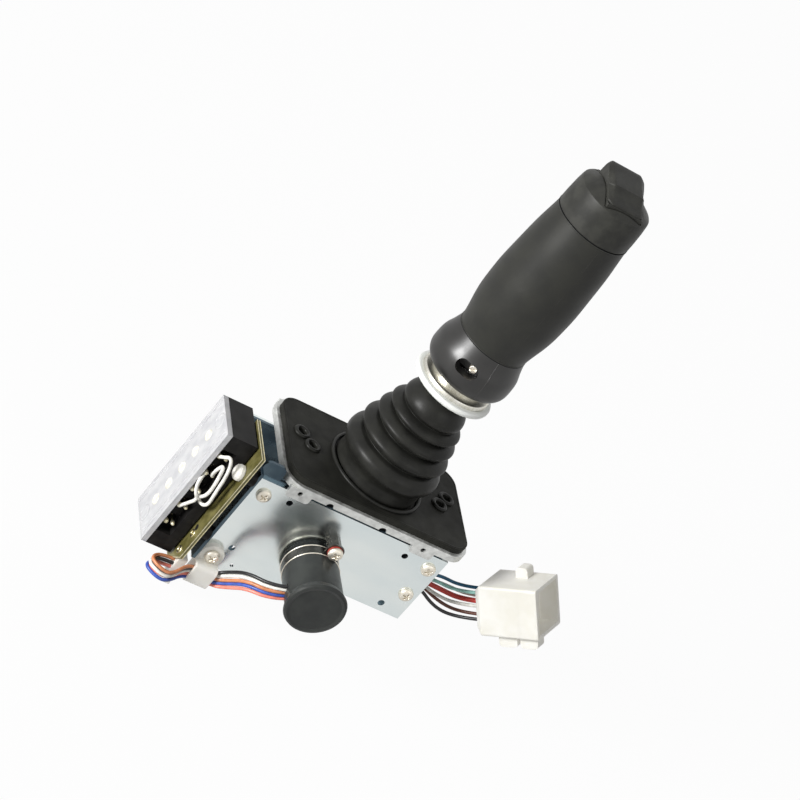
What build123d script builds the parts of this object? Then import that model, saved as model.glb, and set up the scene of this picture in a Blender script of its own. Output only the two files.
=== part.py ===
"""Industrial single-axis joystick controller: geared lever, lift ring, thumb rocker, switch block and harness.

Millimetres. The origin is the centre of the gasket's top face, where the panel sits. +Z runs up the lever,
the lever swings towards +X and -X about an axis along Y, and the potentiometer is on the -Y side.
"""
from build123d import *
from math import acos, asin, cos, degrees, pi, radians, sin, sqrt, tan
import os

# Panel flange of the boot and the plate under it
FLANGE_LENGTH = 94.8
FLANGE_WIDTH = 55.5
FLANGE_THICKNESS = 3.0
FLANGE_CORNER_R = 9.0
PLATE_MARGIN_X = 1.5
PLATE_MARGIN_Y = 2.0
PLATE_DEPTH = 3.5
PLATE_SHEET = 1.6
OPENING_R = 20.0
MOUNT_HOLE_R = 2.1
OUTER_HOLE_SPACING = 78.4
OUTER_HOLE_Y = 4.8
INNER_HOLE_SPACING = 68.8
INNER_HOLE_Y = -1.8
EAR_WIDTH = 11.8
EAR_DROP = 7.4
EAR_CENTRES_X = (-39.2, 26.3)
EAR_HOLE_R = 1.2
NOTCH_R = 1.9
NOTCH_CENTRES_X = (-24.0, 4.0)

# Bellows: (height, outer radius) of each roll's crest and of each groove
BELLOWS_WALL = 1.5
RING_R = 23.1
RING_WIDTH = 1.3
RING_HEIGHT = 1.1
BELLOWS_LINE = (
    (0.0, 21.6), (4.0, 21.3), (7.0, 21.5), (11.5, 23.6), (16.3, 22.6), (19.3, 20.0), (23.6, 21.7),
    (27.4, 17.7), (31.6, 19.5), (34.8, 16.2), (38.0, 17.6), (40.6, 14.6), (44.0, 14.9), (48.0, 12.8), (52.2, 10.2),
)

# Sheet-metal frame
SHEET = 1.5
FRAME_LEFT_REACH = 12.6
FRAME_LEFT_X = -FLANGE_LENGTH / 2 - FRAME_LEFT_REACH
INNER_RIGHT_X = 39.0
SIDE_RIGHT_X = 41.5
SIDE_TOP_Z = -8.4
SIDE_BOTTOM_Z = -47.0
SIDE_DEEP_Z = -61.5
SIDE_STEP_X = -9.0
SIDE_STEP_RUN = 7.0
INNER_BOTTOM_Z = -45.0
TAB_RIGHT_GAP = 0.4
TAB_CORNER_R = 3.0
LIP_NOTCH_LENGTH = 7.0
LIP_NOTCH_GAP = 0.3
END_BOTTOM_Z = -58.0
END_TOP_Z = -4.0
END_RETURN = 14.0
REAR_LEFT_TOP_Z = -16.8
REAR_STEP_X = -30.0
CABLE_SLOT = (-27.0, -8.0, -59.0, -49.0)
BRACKET_FRONT_Y = -32.5
BRACKET_BACK_Y = -6.0
SIDE_SCREWS = ((-51.8, -16.0), (35.9, -15.9), (36.0, -32.9))
REAR_SCREWS = ((-51.8, -24.0), *SIDE_SCREWS[1:])
CLIP_SCREW = (-53.2, -54.5)
SIDE_HOLES = ((-39.5, -14.3, 1.5), (22.2, -14.6, 1.5), (29.3, -42.6, 1.6), (-46.8, -48.1, 1.5), (-41.1, -56.6, 1.0))
SCREW_R = 1.75
SCREW_HEAD_R = 3.4
SCREW_HEAD_HEIGHT = 2.2
SCREW_LENGTH = 6.0

# Lever mechanism
PIVOT_Z = -18.0
PIN_R = 4.0
RUN = 0.05
HUB_R = 9.0
HUB_HALF = 9.0
BUSHING_WALL = 1.5
BUSHING_FLANGE_R = 7.5
BUSHING_FLANGE = 1.0
BUSHING_LENGTH = 7.0
SPACER_R = 6.0
END_PLAY = 0.1
LEVER_ROD_R = 5.0
LEVER_TOP_Z = 152.0
HUB_BOSS_R = 7.5
HUB_BOSS_TOP_Z = -3.0
NECK_R = 8.0
NECK_BOTTOM_Z = 44.0
NECK_TOP_Z = 55.0
SECTOR_TEETH = 48
PINION_TEETH = 16
PRESSURE_ANGLE = 20.0
BACKLASH = 0.12
SECTOR_HALF_TEETH = 4
GEAR_WIDTH = 5.0
PINION_EXTRA = 1.0

# Return spring
SPRING_WIRE_R = 0.9
SPRING_MEAN_R = 9.2
SPRING_TURNS = 3
SPRING_PITCH = 2.2
SPRING_START_Y = 11.6
POST_R = 1.8
FIXED_POST_R = 14.2
HUB_POST_R = 19.6
POST_GAP = 0.25

# Potentiometer
POT_X = -12.7
POT_Z = -38.5
POT_BODY_R = 11.9
POT_BODY_LENGTH = 22.0
POT_SHAFT_R = 3.0
POT_BUSHING_R = 4.8
POT_BUSHING_LENGTH = 6.2
POT_NUT_R = 7.0
POT_NUT_WIDTH = 2.4
BAND_START = 2.8
BAND_WIDTH = 5.5
BAND_THICKNESS = 0.9
BAND_GAP = 1.6
CAP_START_GAP = 0.3
CAP_LENGTH = 22.3
CAP_R = POT_BODY_R + 0.85
CAP_END_R = CAP_R + 1.25
CAP_WALL = 0.65
CAP_FLOOR = 2.0
STANDOFF_X = POT_X + 1.8
STANDOFF_Z = POT_Z + POT_BODY_R + 4.3
STANDOFF_R = 3.3
WASHER_R = 3.5
WASHER_THICKNESS = 0.8

# Board, spacers and contact block
BOARD_THICKNESS = 1.6
BOARD_GAP = 4.7
BOARD_FRONT_Y = -36.0
BOARD_BACK_Y = -9.4
BOARD_TOP_Z = 5.5
BOARD_BOTTOM_Z = -67.0
BOARD_CHAMFER = 8.6
SPACER_POST_R = 3.5
SPACER_Y = -30.4
SPACER_ZS = (-9.0, -44.0)
SPACER_STUD_R = 1.4
NUT_R = 3.1
NUT_GAP = 0.2
NUT_THICKNESS = 2.4
FOOT_HEIGHT = 1.0
FOOT_SIZE = 4.0
BLOCK_DEPTH = 26.5
BLOCK_FRONT_Y = -28.2
BLOCK_TOP_Z = 4.7
BLOCK_HEIGHT = 68.2
BLOCK_WIDTH = 12.5
COVER_WIDTH = 2.5
COVER_WALL = 1.0
CELLS = 5
CELL_PITCH = 10.4
CELL_TOP = 13.2
RECESS_DEPTH = 5.0
RECESS_WIDTH = 7.4
POCKET_HEIGHT = 5.4
POCKET_DEPTH = 3.0
CONTACT_R = 3.0
CONTACT_GAP = 0.1
TERMINAL_LENGTH = 3.4
TERMINAL_SIZE = 1.0
TERMINAL_SPREAD = 3.4
JUMPER_D = 1.3
# Each jumper: top cell, low cell, reach towards the board, depth in front of the block
JUMPERS = ((0, 2, 4.3, 4.0), (1, 3, 3.0, 6.4))
HEADER_SIZE = (4.0, 6.8, 15.5)
HEADER_Y = -30.2
HEADER_Z = -60.0

# Leads and their clip
LEAD_D = 1.6
LEAD_PITCH = 1.72
LEAD_TURN_R = 5.6
LEAD_TURN_GAP = 4.2
LEAD_OUT = 7.3
LEAD_CLIP_Y = -33.2
LEAD_LARGEST_ARC = 6.0
CLIP_WIDTH = 11.0
CLIP_STRIP = 1.3
CLIP_INNER_WIDTH = 5.2
CLIP_INNER_HEIGHT = 9.2
CLIP_INNER_CORNER = 1.4
CLIP_LOOP_Z = -63.9
CLIP_TAB_R = 5.5

# Harness
WIRE_D = 1.6
POWER_WIRE_D = 2.4
SLEEVE_D = 6.0
CLAMP_X = (15.0, 21.0)
CLAMP_Y = -6.0
CLAMP_Z = -44.0
CLAMP_WALL = 2.0
SLEEVE_OUT = 0.6
CONNECTOR_BACK = (77.7, -16.8, -26.8)
CONNECTOR_X = (0.551, -0.476, 0.688)
CONNECTOR_DOWN = (0.566, -0.431, -0.695)
CONNECTOR_LENGTH = 31.0
CONNECTOR_HEIGHT = 23.6
CONNECTOR_WIDTH = 25.4
CONNECTOR_BACK_BEVEL = 3.2
CONNECTOR_EDGE_R = 1.2
MOUTH_DEPTH = 9.0
CONNECTOR_WALL = 1.7
CELL_SPACING = 6.35
SOCKET_R = 1.6
SOCKET_DEPTH = 8.0
LATCH_EDGE_R = 1.8
# Each lug: side (-1 top, 1 bottom), start along the body, length, height, width, offset across
LATCHES = ((-1, 15.0, 5.8, 4.8, 7.0, 6.0), (1, 10.5, 9.0, 5.2, 7.0, -6.5), (1, 21.0, 8.5, 5.2, 7.0, -6.5))

# Lock ring
RING_DISC_R = 19.5
RING_BOTTOM_Z = 56.4
RING_DISC_HEIGHT = 5.2
RING_HUB_R = 13.0
RING_HUB_HEIGHT = 4.4
RING_BORE_GAP = 0.1
RING_STROKE = 3.5
RING_SPRING_R = 8.2
RING_SPRING_WIRE = 0.6
RING_SPRING_TURNS = 2

# Handle: (height, radius) along the collar, the grip and the cap
COLLAR_BOTTOM_Z = 65.6
COLLAR_LINE = ((65.6, 16.9), (67.0, 18.9), (69.4, 20.2), (73.4, 20.5), (78.2, 20.0), (81.6, 18.8), (85.0, 17.8), (87.3, 17.2))
GRIP_LINE = ((87.5, 17.1), (92.0, 17.7), (97.0, 18.7), (104.5, 19.9), (111.0, 20.3), (118.0, 20.5), (129.0, 20.1),
             (144.5, 19.2), (151.0, 18.5), (157.6, 17.8))
CORE_R = 14.6
CORE_TOP_Z = 156.6
COLLAR_CAVITY_R = 14.4
COLLAR_CAVITY_DEPTH = 9.4
BATTERY_R = 11.0
BATTERY_BOTTOM_Z = 98.0
SCREW_SLOT_AZIMUTH = -121.0
SCREW_SLOT_Z = 77.6
SCREW_SLOT_LENGTH = 11.0
SCREW_SLOT_HEIGHT = 6.4
SCREW_SLOT_DEPTH = 6.5
SET_SCREW_R = 1.9
SET_SCREW_END_R = 16.0
SET_SCREW_AZIMUTH = -113.0
CAP_TOP_Z = 178.0
CAP_SEAM_GAP = 0.1
CAP_LINE = ((157.7, 17.9), (162.0, 17.9), (169.0, 17.6), (173.6, 17.0), (176.4, 14.6), (178.0, 9.0))
HEAD_WALL = 2.4
HEAD_FLOOR = 2.5
DECK_Z = 173.4

# Thumb rocker
ROCKER_HALF = 9.3
ROCKER_GAP = 0.4
ROCKER_AXIS_Y = -1.0
ROCKER_AXIS_Z = 171.0
ROCKER_PIN_R = 1.5
ROCKER_TILT = 7.0
ROCKER_LINE = ((-13.4, 175.2), (-13.6, 176.4), (-4.6, 180.2), (8.6, 183.2), (10.6, 182.2), (11.4, 175.2))
ROCKER_HUB_R = 3.6
SENSOR_SIZE = (12.0, 9.0, 6.0)


def save(name, *solids):
    """Write one sub-part to its own file."""
    shape = solids[0] if len(solids) == 1 else Compound(children=list(solids))
    export_step(shape, f"parts/{name}.step")


def block(x0, x1, y0, y1, z0, z1):
    return Pos((x0 + x1) / 2, (y0 + y1) / 2, (z0 + z1) / 2) * Box(x1 - x0, y1 - y0, z1 - z0)


def rod(axis, radius, start, end, a, b):
    """Cylinder along one axis. a and b are the other two coordinates, in X, Y, Z order."""
    middle = (start + end) / 2
    turned = {"x": Pos(middle, a, b) * Rot(0, 90, 0), "y": Pos(a, middle, b) * Rot(90, 0, 0), "z": Pos(a, b, middle)}
    return turned[axis] * Cylinder(radius, abs(end - start))


def ring(axis, outer, inner, start, end, a, b):
    return rod(axis, outer, start, end, a, b) - rod(axis, inner, start, end, a, b)


def tube(name, points, diameter, limp_limit=3.0, largest=1000.0):
    """Straight runs joined by tangent arcs, each as large as its two runs allow, up to a largest radius."""
    points = [Vector(*p) for p in points]
    arcs = []
    for before, here, after in zip(points, points[1:], points[2:]):
        turn = radians((here - before).get_angle(after - here))
        shorter = min((here - before).length, (after - here).length)
        arcs.append(min(0.45 * shorter / tan(turn / 2), largest))
    path = FilletPolyline(*points, radius=arcs)
    section = Plane(origin=path @ 0, z_dir=path % 0) * Circle(diameter / 2)
    solid = sweep(section, path=path)
    expected = pi * diameter**2 / 4 * path.length
    note = "" if min(arcs) >= limp_limit * diameter else "  tighter than asked"
    print(f"{name}: length {path.length:.1f}, tightest arc {min(arcs):.1f}, "
          f"volume ratio {solid.volume / expected:.4f}{note}")
    return solid


def turned_shape(outline, angle=360.0, start=0.0):
    """Turn a closed outline of (height, radius) edges about the lever's axis."""
    return revolve(Rot(0, 0, start) * outline, Axis.Z, angle)


def lathe(points, angle=360.0, start=0.0):
    """Turn a closed outline given as straight lines through (height, radius) points."""
    line = Polyline(*[(r, 0, z) for z, r in points], close=True)
    return turned_shape(make_face(line), angle, start)


def smooth_lathe(curve, closing, angle=360.0, start=0.0):
    """Turn an outline of one smooth curve, closed by straight lines through further points."""
    outer = Spline(*[(r, 0, z) for z, r in curve])
    ends = [curve[-1], *closing, curve[0]]
    rest = Polyline(*[(r, 0, z) for z, r in ends])
    return turned_shape(make_face(outer + rest), angle, start)


# Flange, mounting plate and frame

HALF_LENGTH = FLANGE_LENGTH / 2
HALF_WIDTH = FLANGE_WIDTH / 2
PLATE_TOP_Z = -FLANGE_THICKNESS
PLATE_HALF_LENGTH = HALF_LENGTH + PLATE_MARGIN_X
PLATE_HALF_WIDTH = HALF_WIDTH + PLATE_MARGIN_Y
PLATE_CORNER_R = FLANGE_CORNER_R + PLATE_MARGIN_X
PLATE_BOTTOM_Z = PLATE_TOP_Z - PLATE_DEPTH
SIDE_OUTER_Y = PLATE_HALF_WIDTH - PLATE_SHEET
SIDE_INNER_Y = SIDE_OUTER_Y - SHEET
WALL_INNER_Y = SIDE_INNER_Y - SHEET
MOUNT_HOLES = [(side * OUTER_HOLE_SPACING / 2, OUTER_HOLE_Y) for side in (-1, 1)]
MOUNT_HOLES += [(side * INNER_HOLE_SPACING / 2, INNER_HOLE_Y) for side in (-1, 1)]


def rounded_slab(half_x, half_y, corner, bottom, top):
    sketch = Plane.XY.offset(bottom) * RectangleRounded(2 * half_x, 2 * half_y, corner)
    return extrude(sketch, top - bottom)


def make_boot_flange():
    body = rounded_slab(HALF_LENGTH, HALF_WIDTH, FLANGE_CORNER_R, PLATE_TOP_Z, 0)
    body += ring("z", RING_R + RING_WIDTH / 2, RING_R - RING_WIDTH / 2, 0, RING_HEIGHT, 0, 0)
    for x, y in MOUNT_HOLES:
        body += ring("z", MOUNT_HOLE_R + 1.1, MOUNT_HOLE_R, 0, RING_HEIGHT / 2, x, y)
        body -= rod("z", MOUNT_HOLE_R, PLATE_TOP_Z, 0, x, y)
    return body - rod("z", OPENING_R, PLATE_TOP_Z, RING_HEIGHT, 0, 0)


def make_bellows():
    inner = [(z, r - BELLOWS_WALL) for z, r in BELLOWS_LINE]
    outer_edge = Spline(*[(r, 0, z) for z, r in BELLOWS_LINE])
    inner_edge = Spline(*[(r, 0, z) for z, r in inner])
    foot = Line(outer_edge @ 0, inner_edge @ 0)
    top = Line(outer_edge @ 1, inner_edge @ 1)
    return turned_shape(make_face(outer_edge + inner_edge + foot + top))


def make_mounting_plate():
    body = rounded_slab(PLATE_HALF_LENGTH, PLATE_HALF_WIDTH, PLATE_CORNER_R, PLATE_BOTTOM_Z, PLATE_TOP_Z)
    inside = rounded_slab(
        PLATE_HALF_LENGTH - PLATE_SHEET, PLATE_HALF_WIDTH - PLATE_SHEET, PLATE_CORNER_R - PLATE_SHEET,
        PLATE_BOTTOM_Z, PLATE_TOP_Z - PLATE_SHEET,
    )
    body -= inside
    for side in (-1, 1):
        faces = sorted((side * PLATE_HALF_WIDTH, side * (PLATE_HALF_WIDTH - PLATE_SHEET)))
        for x in EAR_CENTRES_X:
            ear = block(x - EAR_WIDTH / 2, x + EAR_WIDTH / 2, *faces, PLATE_TOP_Z - EAR_DROP, PLATE_TOP_Z - PLATE_SHEET)
            low = ear.edges().filter_by(Axis.Y).group_by(Axis.Z)[0]
            body += fillet(low, PLATE_SHEET)
        for x in EAR_CENTRES_X:
            body -= rod("y", EAR_HOLE_R, *faces, x, PLATE_TOP_Z - EAR_DROP / 2)
        for x in NOTCH_CENTRES_X:
            body -= rod("y", NOTCH_R, *faces, x, PLATE_BOTTOM_Z)
    for x, y in MOUNT_HOLES:
        body -= rod("z", MOUNT_HOLE_R, PLATE_BOTTOM_Z, PLATE_TOP_Z, x, y)
    return body - rod("z", OPENING_R, PLATE_BOTTOM_Z, PLATE_TOP_Z, 0, 0)


def side_outline(y):
    """The side plate's outline: deeper at the left, stepped up behind the potentiometer."""
    corners = [
        (FRAME_LEFT_X, SIDE_TOP_Z), (SIDE_RIGHT_X, SIDE_TOP_Z), (SIDE_RIGHT_X, SIDE_BOTTOM_Z),
        (SIDE_STEP_X, SIDE_BOTTOM_Z), (SIDE_STEP_X - SIDE_STEP_RUN, SIDE_DEEP_Z), (FRAME_LEFT_X, SIDE_DEEP_Z),
    ]
    return make_face(Polyline(*[(x, y, z) for x, z in corners], close=True))


def side_screws(side):
    return SIDE_SCREWS if side < 0 else REAR_SCREWS


def make_side_plate(side):
    """side is -1 for the front plate, which carries the potentiometer, and 1 for the rear plate."""
    start = min(side * SIDE_OUTER_Y, side * SIDE_INNER_Y)
    plate = extrude(side_outline(start), SHEET, dir=(0, 1, 0))
    faces = (start, start + SHEET)
    plate = fillet(plate.edges().filter_by(Axis.Y).group_by(Axis.Z)[0], SHEET)
    if side > 0:
        plate -= block(FRAME_LEFT_X, REAR_STEP_X, *faces, REAR_LEFT_TOP_Z, SIDE_TOP_Z)
    for x, z in side_screws(side):
        plate -= rod("y", SCREW_R, *faces, x, z)
    for x, z, radius in SIDE_HOLES:
        plate -= rod("y", radius, *faces, x, z)
    if side < 0:
        plate -= rod("y", SCREW_R, *faces, *CLIP_SCREW)
        plate -= rod("y", POT_BUSHING_R, *faces, POT_X, POT_Z)
        plate -= rod("y", SCREW_R, *faces, STANDOFF_X, STANDOFF_Z)
    return plate


def make_inner_frame():
    """One sheet bent round the left end: front wall with a high tab, end wall, and rear wall stepped down at the left."""
    wall_top = PLATE_TOP_Z - PLATE_SHEET
    tab_right = -PLATE_HALF_LENGTH - TAB_RIGHT_GAP
    outer = block(FRAME_LEFT_X, INNER_RIGHT_X, -SIDE_INNER_Y, SIDE_INNER_Y, INNER_BOTTOM_Z, wall_top)
    outer += block(FRAME_LEFT_X, tab_right, -SIDE_INNER_Y, SIDE_INNER_Y, INNER_BOTTOM_Z, 0)
    upper = outer.edges().filter_by(Axis.Y).group_by(Axis.Z)[-1]
    outer = fillet(upper, TAB_CORNER_R)
    outer += block(FRAME_LEFT_X, FRAME_LEFT_X + END_RETURN, -SIDE_INNER_Y, SIDE_INNER_Y, END_BOTTOM_Z, INNER_BOTTOM_Z)
    inner = block(FRAME_LEFT_X + SHEET, INNER_RIGHT_X, -WALL_INNER_Y, WALL_INNER_Y, END_BOTTOM_Z, TAB_CORNER_R)
    body = outer - inner
    body -= block(FRAME_LEFT_X, REAR_STEP_X, BRACKET_BACK_Y, SIDE_INNER_Y, REAR_LEFT_TOP_Z, TAB_CORNER_R)
    body -= block(FRAME_LEFT_X, FRAME_LEFT_X + SHEET, -WALL_INNER_Y, BRACKET_BACK_Y, END_TOP_Z, TAB_CORNER_R)
    body -= block(FRAME_LEFT_X, FRAME_LEFT_X + SHEET, *CABLE_SLOT)
    body -= block(tab_right, tab_right + LIP_NOTCH_LENGTH, -SIDE_INNER_Y, SIDE_INNER_Y, PLATE_BOTTOM_Z - LIP_NOTCH_GAP, 0)
    for side in (-1, 1):
        faces = sorted((side * SIDE_INNER_Y, side * WALL_INNER_Y))
        for x, z in side_screws(side):
            body -= rod("y", SCREW_R, *faces, x, z)
        body -= rod("y", PIN_R, *faces, 0, PIVOT_Z)
    front = (-SIDE_INNER_Y, -WALL_INNER_Y)
    body -= rod("y", SCREW_R, *front, *CLIP_SCREW)
    body -= rod("y", POT_BUSHING_R, *front, POT_X, POT_Z)
    body -= rod("y", SCREW_R, *front, STANDOFF_X, STANDOFF_Z)
    body -= rod("y", POST_R, WALL_INNER_Y, SIDE_INNER_Y, 0, PIVOT_Z - FIXED_POST_R)
    return body


def make_end_bracket():
    inner_x = FRAME_LEFT_X
    outer_x = FRAME_LEFT_X - SHEET
    body = block(outer_x, inner_x, BRACKET_FRONT_Y, BRACKET_BACK_Y, END_BOTTOM_Z, END_TOP_Z)
    body -= block(outer_x, inner_x, *CABLE_SLOT)
    for z in SPACER_ZS:
        body -= rod("x", SPACER_STUD_R, outer_x, inner_x, SPACER_Y, z)
    return body


def pan_screw(face_y, side, x, z, length=SCREW_LENGTH):
    """Pan-head screw along Y. side is the way its head points."""
    head_end = face_y + side * SCREW_HEAD_HEIGHT
    head = rod("y", SCREW_HEAD_R, face_y, head_end, x, z)
    rim = head.edges().filter_by(GeomType.CIRCLE).sort_by(Axis.Y)[-1 if side > 0 else 0]
    head = fillet(rim, SCREW_HEAD_HEIGHT * 0.75)
    return head + rod("y", SCREW_R, face_y, face_y - side * length, x, z)


def make_frame_screws():
    front = [pan_screw(-SIDE_OUTER_Y, -1, x, z) for x, z in SIDE_SCREWS]
    rear = [pan_screw(SIDE_OUTER_Y, 1, x, z) for x, z in REAR_SCREWS]
    clip = pan_screw(-SIDE_OUTER_Y - 2 * CLIP_STRIP, -1, *CLIP_SCREW)
    band_face = BAND_FRONT_Y - WASHER_THICKNESS
    band = pan_screw(band_face, -1, STANDOFF_X, STANDOFF_Z, length=-band_face - WALL_INNER_Y + 2)
    return front + rear + [clip, band]


# Lever, hub and gear pair

BUSHING_R = PIN_R + RUN + BUSHING_WALL
GEAR_FRONT_Y = -HUB_HALF - GEAR_WIDTH
LINE_LENGTH = sqrt(POT_X**2 + (POT_Z - PIVOT_Z) ** 2)
GEAR_MODULE = 2 * LINE_LENGTH / (SECTOR_TEETH + PINION_TEETH)
LINE_ANGLE = -pi + acos(-POT_X / LINE_LENGTH)


def involute(angle):
    return tan(angle) - angle


def tooth_points(teeth, centre_angle, addendum=1.0):
    """(radius, angle) pairs of one tooth, from root to root, with true involute flanks."""
    pitch_r = GEAR_MODULE * teeth / 2
    base_r = pitch_r * cos(radians(PRESSURE_ANGLE))
    tip_r = pitch_r + addendum * GEAR_MODULE
    root_r = pitch_r - 1.25 * GEAR_MODULE
    half = pi / (2 * teeth) - BACKLASH / (4 * pitch_r) + involute(radians(PRESSURE_ANGLE))
    flank = [(root_r, half)]
    for share in (0.0, 0.5, 1.0):
        start_r = max(base_r, root_r)
        radius = start_r + share * (tip_r - start_r)
        flank.append((radius, half - involute(acos(min(1.0, base_r / radius)))))
    rising = [(r, centre_angle - a) for r, a in flank]
    falling = [(r, centre_angle + a) for r, a in reversed(flank)]
    return rising + falling


def polar(cx, cz, y, points):
    return [(cx + r * cos(a), y, cz + r * sin(a)) for r, a in points]


def make_sector_gear():
    step = 2 * pi / SECTOR_TEETH
    points = []
    for k in range(-SECTOR_HALF_TEETH, SECTOR_HALF_TEETH + 1):
        points += tooth_points(SECTOR_TEETH, LINE_ANGLE + k * step, addendum=0.9)
    outline = polar(0, PIVOT_Z, GEAR_FRONT_Y, points) + [(0, GEAR_FRONT_Y, PIVOT_Z)]
    web = extrude(make_face(Polyline(*outline, close=True)), GEAR_WIDTH, dir=(0, 1, 0))
    web += rod("y", HUB_R, GEAR_FRONT_Y, -HUB_HALF, 0, PIVOT_Z)
    return web - rod("y", BUSHING_R, GEAR_FRONT_Y, -HUB_HALF, 0, PIVOT_Z)


def make_pinion():
    step = 2 * pi / PINION_TEETH
    points = []
    for k in range(PINION_TEETH):
        points += tooth_points(PINION_TEETH, LINE_ANGLE + pi + (k + 0.5) * step)
    start = GEAR_FRONT_Y - PINION_EXTRA
    outline = polar(POT_X, POT_Z, start, points)
    wheel = extrude(make_face(Polyline(*outline, close=True)), GEAR_WIDTH + 2 * PINION_EXTRA, dir=(0, 1, 0))
    return wheel - rod("y", POT_SHAFT_R, start, start + GEAR_WIDTH + 2 * PINION_EXTRA, POT_X, POT_Z)


def make_lever_hub():
    hub = rod("y", HUB_R, -HUB_HALF, HUB_HALF, 0, PIVOT_Z)
    hub += rod("z", HUB_BOSS_R, PIVOT_Z, HUB_BOSS_TOP_Z, 0, 0)
    arm_end = PIVOT_Z - HUB_POST_R
    hub += block(-POST_R - 1.4, POST_R + 1.4, HUB_HALF - 5, HUB_HALF, arm_end, PIVOT_Z)
    hub += rod("y", POST_R + 1.4, HUB_HALF - 5, HUB_HALF, 0, arm_end)
    hub += rod("y", POST_R, HUB_HALF, SPRING_START_Y + SPRING_TURNS * SPRING_PITCH + 1, 0, arm_end)
    hub -= rod("y", BUSHING_R, -HUB_HALF, HUB_HALF, 0, PIVOT_Z)
    return hub - rod("z", LEVER_ROD_R, PIVOT_Z + BUSHING_R + 1, HUB_BOSS_TOP_Z, 0, 0)


def make_lever_rod():
    rod_solid = rod("z", LEVER_ROD_R, PIVOT_Z + BUSHING_R + 1, LEVER_TOP_Z, 0, 0)
    neck = rod("z", NECK_R, NECK_BOTTOM_Z, NECK_TOP_Z, 0, 0)
    return rod_solid + chamfer(neck.edges().filter_by(GeomType.CIRCLE), 1.0)


def make_hub_bushings():
    front_end = GEAR_FRONT_Y - BUSHING_FLANGE
    front = ring("y", BUSHING_R, PIN_R + RUN, GEAR_FRONT_Y, GEAR_FRONT_Y + BUSHING_LENGTH, 0, PIVOT_Z)
    front += ring("y", BUSHING_FLANGE_R, PIN_R + RUN, front_end, GEAR_FRONT_Y, 0, PIVOT_Z)
    rear = ring("y", BUSHING_R, PIN_R + RUN, HUB_HALF - BUSHING_LENGTH, HUB_HALF, 0, PIVOT_Z)
    rear += ring("y", BUSHING_FLANGE_R, PIN_R + RUN, HUB_HALF, HUB_HALF + BUSHING_FLANGE, 0, PIVOT_Z)
    return [front, rear]


def make_pivot_spacers():
    front_end = GEAR_FRONT_Y - BUSHING_FLANGE - END_PLAY
    rear_start = HUB_HALF + BUSHING_FLANGE + END_PLAY
    front = ring("y", SPACER_R, PIN_R, -WALL_INNER_Y, front_end, 0, PIVOT_Z)
    rear = ring("y", SPACER_R, PIN_R, rear_start, WALL_INNER_Y, 0, PIVOT_Z)
    return [front, rear]


def make_return_spring():
    """Coil round the rear spacer with two radial legs, one each side of the fixed post and the hub's post."""
    half_angle = degrees(acos(1 - (POST_R + SPRING_WIRE_R + POST_GAP) ** 2 / (2 * SPRING_MEAN_R**2)))
    height = SPRING_TURNS * SPRING_PITCH
    turns = SPRING_TURNS + 2 * half_angle / 360
    helix = Helix(pitch=height / turns, height=height, radius=SPRING_MEAN_R)
    coil_plane = Plane(origin=(0, SPRING_START_Y, PIVOT_Z), x_dir=(sin(radians(-half_angle)), 0, -cos(radians(half_angle))),
                       z_dir=(0, 1, 0))
    path = coil_plane * helix
    coil = sweep(Plane(origin=path @ 0, z_dir=path % 0) * Circle(SPRING_WIRE_R), path=path)
    legs = []
    leg_end = PIVOT_Z - HUB_POST_R - POST_R
    for at in (0, 1):
        point = path @ at
        legs.append(rod("z", SPRING_WIRE_R, leg_end, point.Z, point.X, point.Y))
    return coil, legs


def make_spring_post():
    radius_gap = 0.01
    post = rod("y", POST_R, SPRING_START_Y - 0.5, SIDE_INNER_Y, 0, PIVOT_Z - FIXED_POST_R)
    collar = rod("y", POST_R + 1.2, WALL_INNER_Y - 1.5, WALL_INNER_Y - radius_gap, 0, PIVOT_Z - FIXED_POST_R)
    return post + collar


# Potentiometer

POT_FACE_Y = -SIDE_OUTER_Y
POT_END_Y = POT_FACE_Y - POT_BODY_LENGTH
BAND_BACK_Y = POT_FACE_Y - BAND_START
BAND_FRONT_Y = BAND_BACK_Y - BAND_WIDTH
CAP_BACK_Y = BAND_FRONT_Y - CAP_START_GAP
CAP_FRONT_Y = CAP_BACK_Y - CAP_LENGTH
SHAFT_BACK_Y = GEAR_FRONT_Y + GEAR_WIDTH + PINION_EXTRA


def make_pot_body():
    body = rod("y", POT_BODY_R, POT_END_Y, POT_FACE_Y, POT_X, POT_Z)
    body += rod("y", POT_BUSHING_R, POT_FACE_Y, POT_FACE_Y + POT_BUSHING_LENGTH, POT_X, POT_Z)
    bore = rod("y", POT_SHAFT_R + RUN, POT_END_Y + 6, POT_FACE_Y + POT_BUSHING_LENGTH, POT_X, POT_Z)
    return body - bore


def make_pot_nut():
    start = -WALL_INNER_Y
    outline = Plane(origin=(POT_X, start, POT_Z), z_dir=(0, 1, 0)) * RegularPolygon(POT_NUT_R, 6)
    nut = extrude(outline, POT_NUT_WIDTH)
    return nut - rod("y", POT_BUSHING_R, start, start + POT_NUT_WIDTH, POT_X, POT_Z)


def make_pot_shaft():
    return rod("y", POT_SHAFT_R, POT_END_Y + 6.5, SHAFT_BACK_Y, POT_X, POT_Z)


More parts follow.
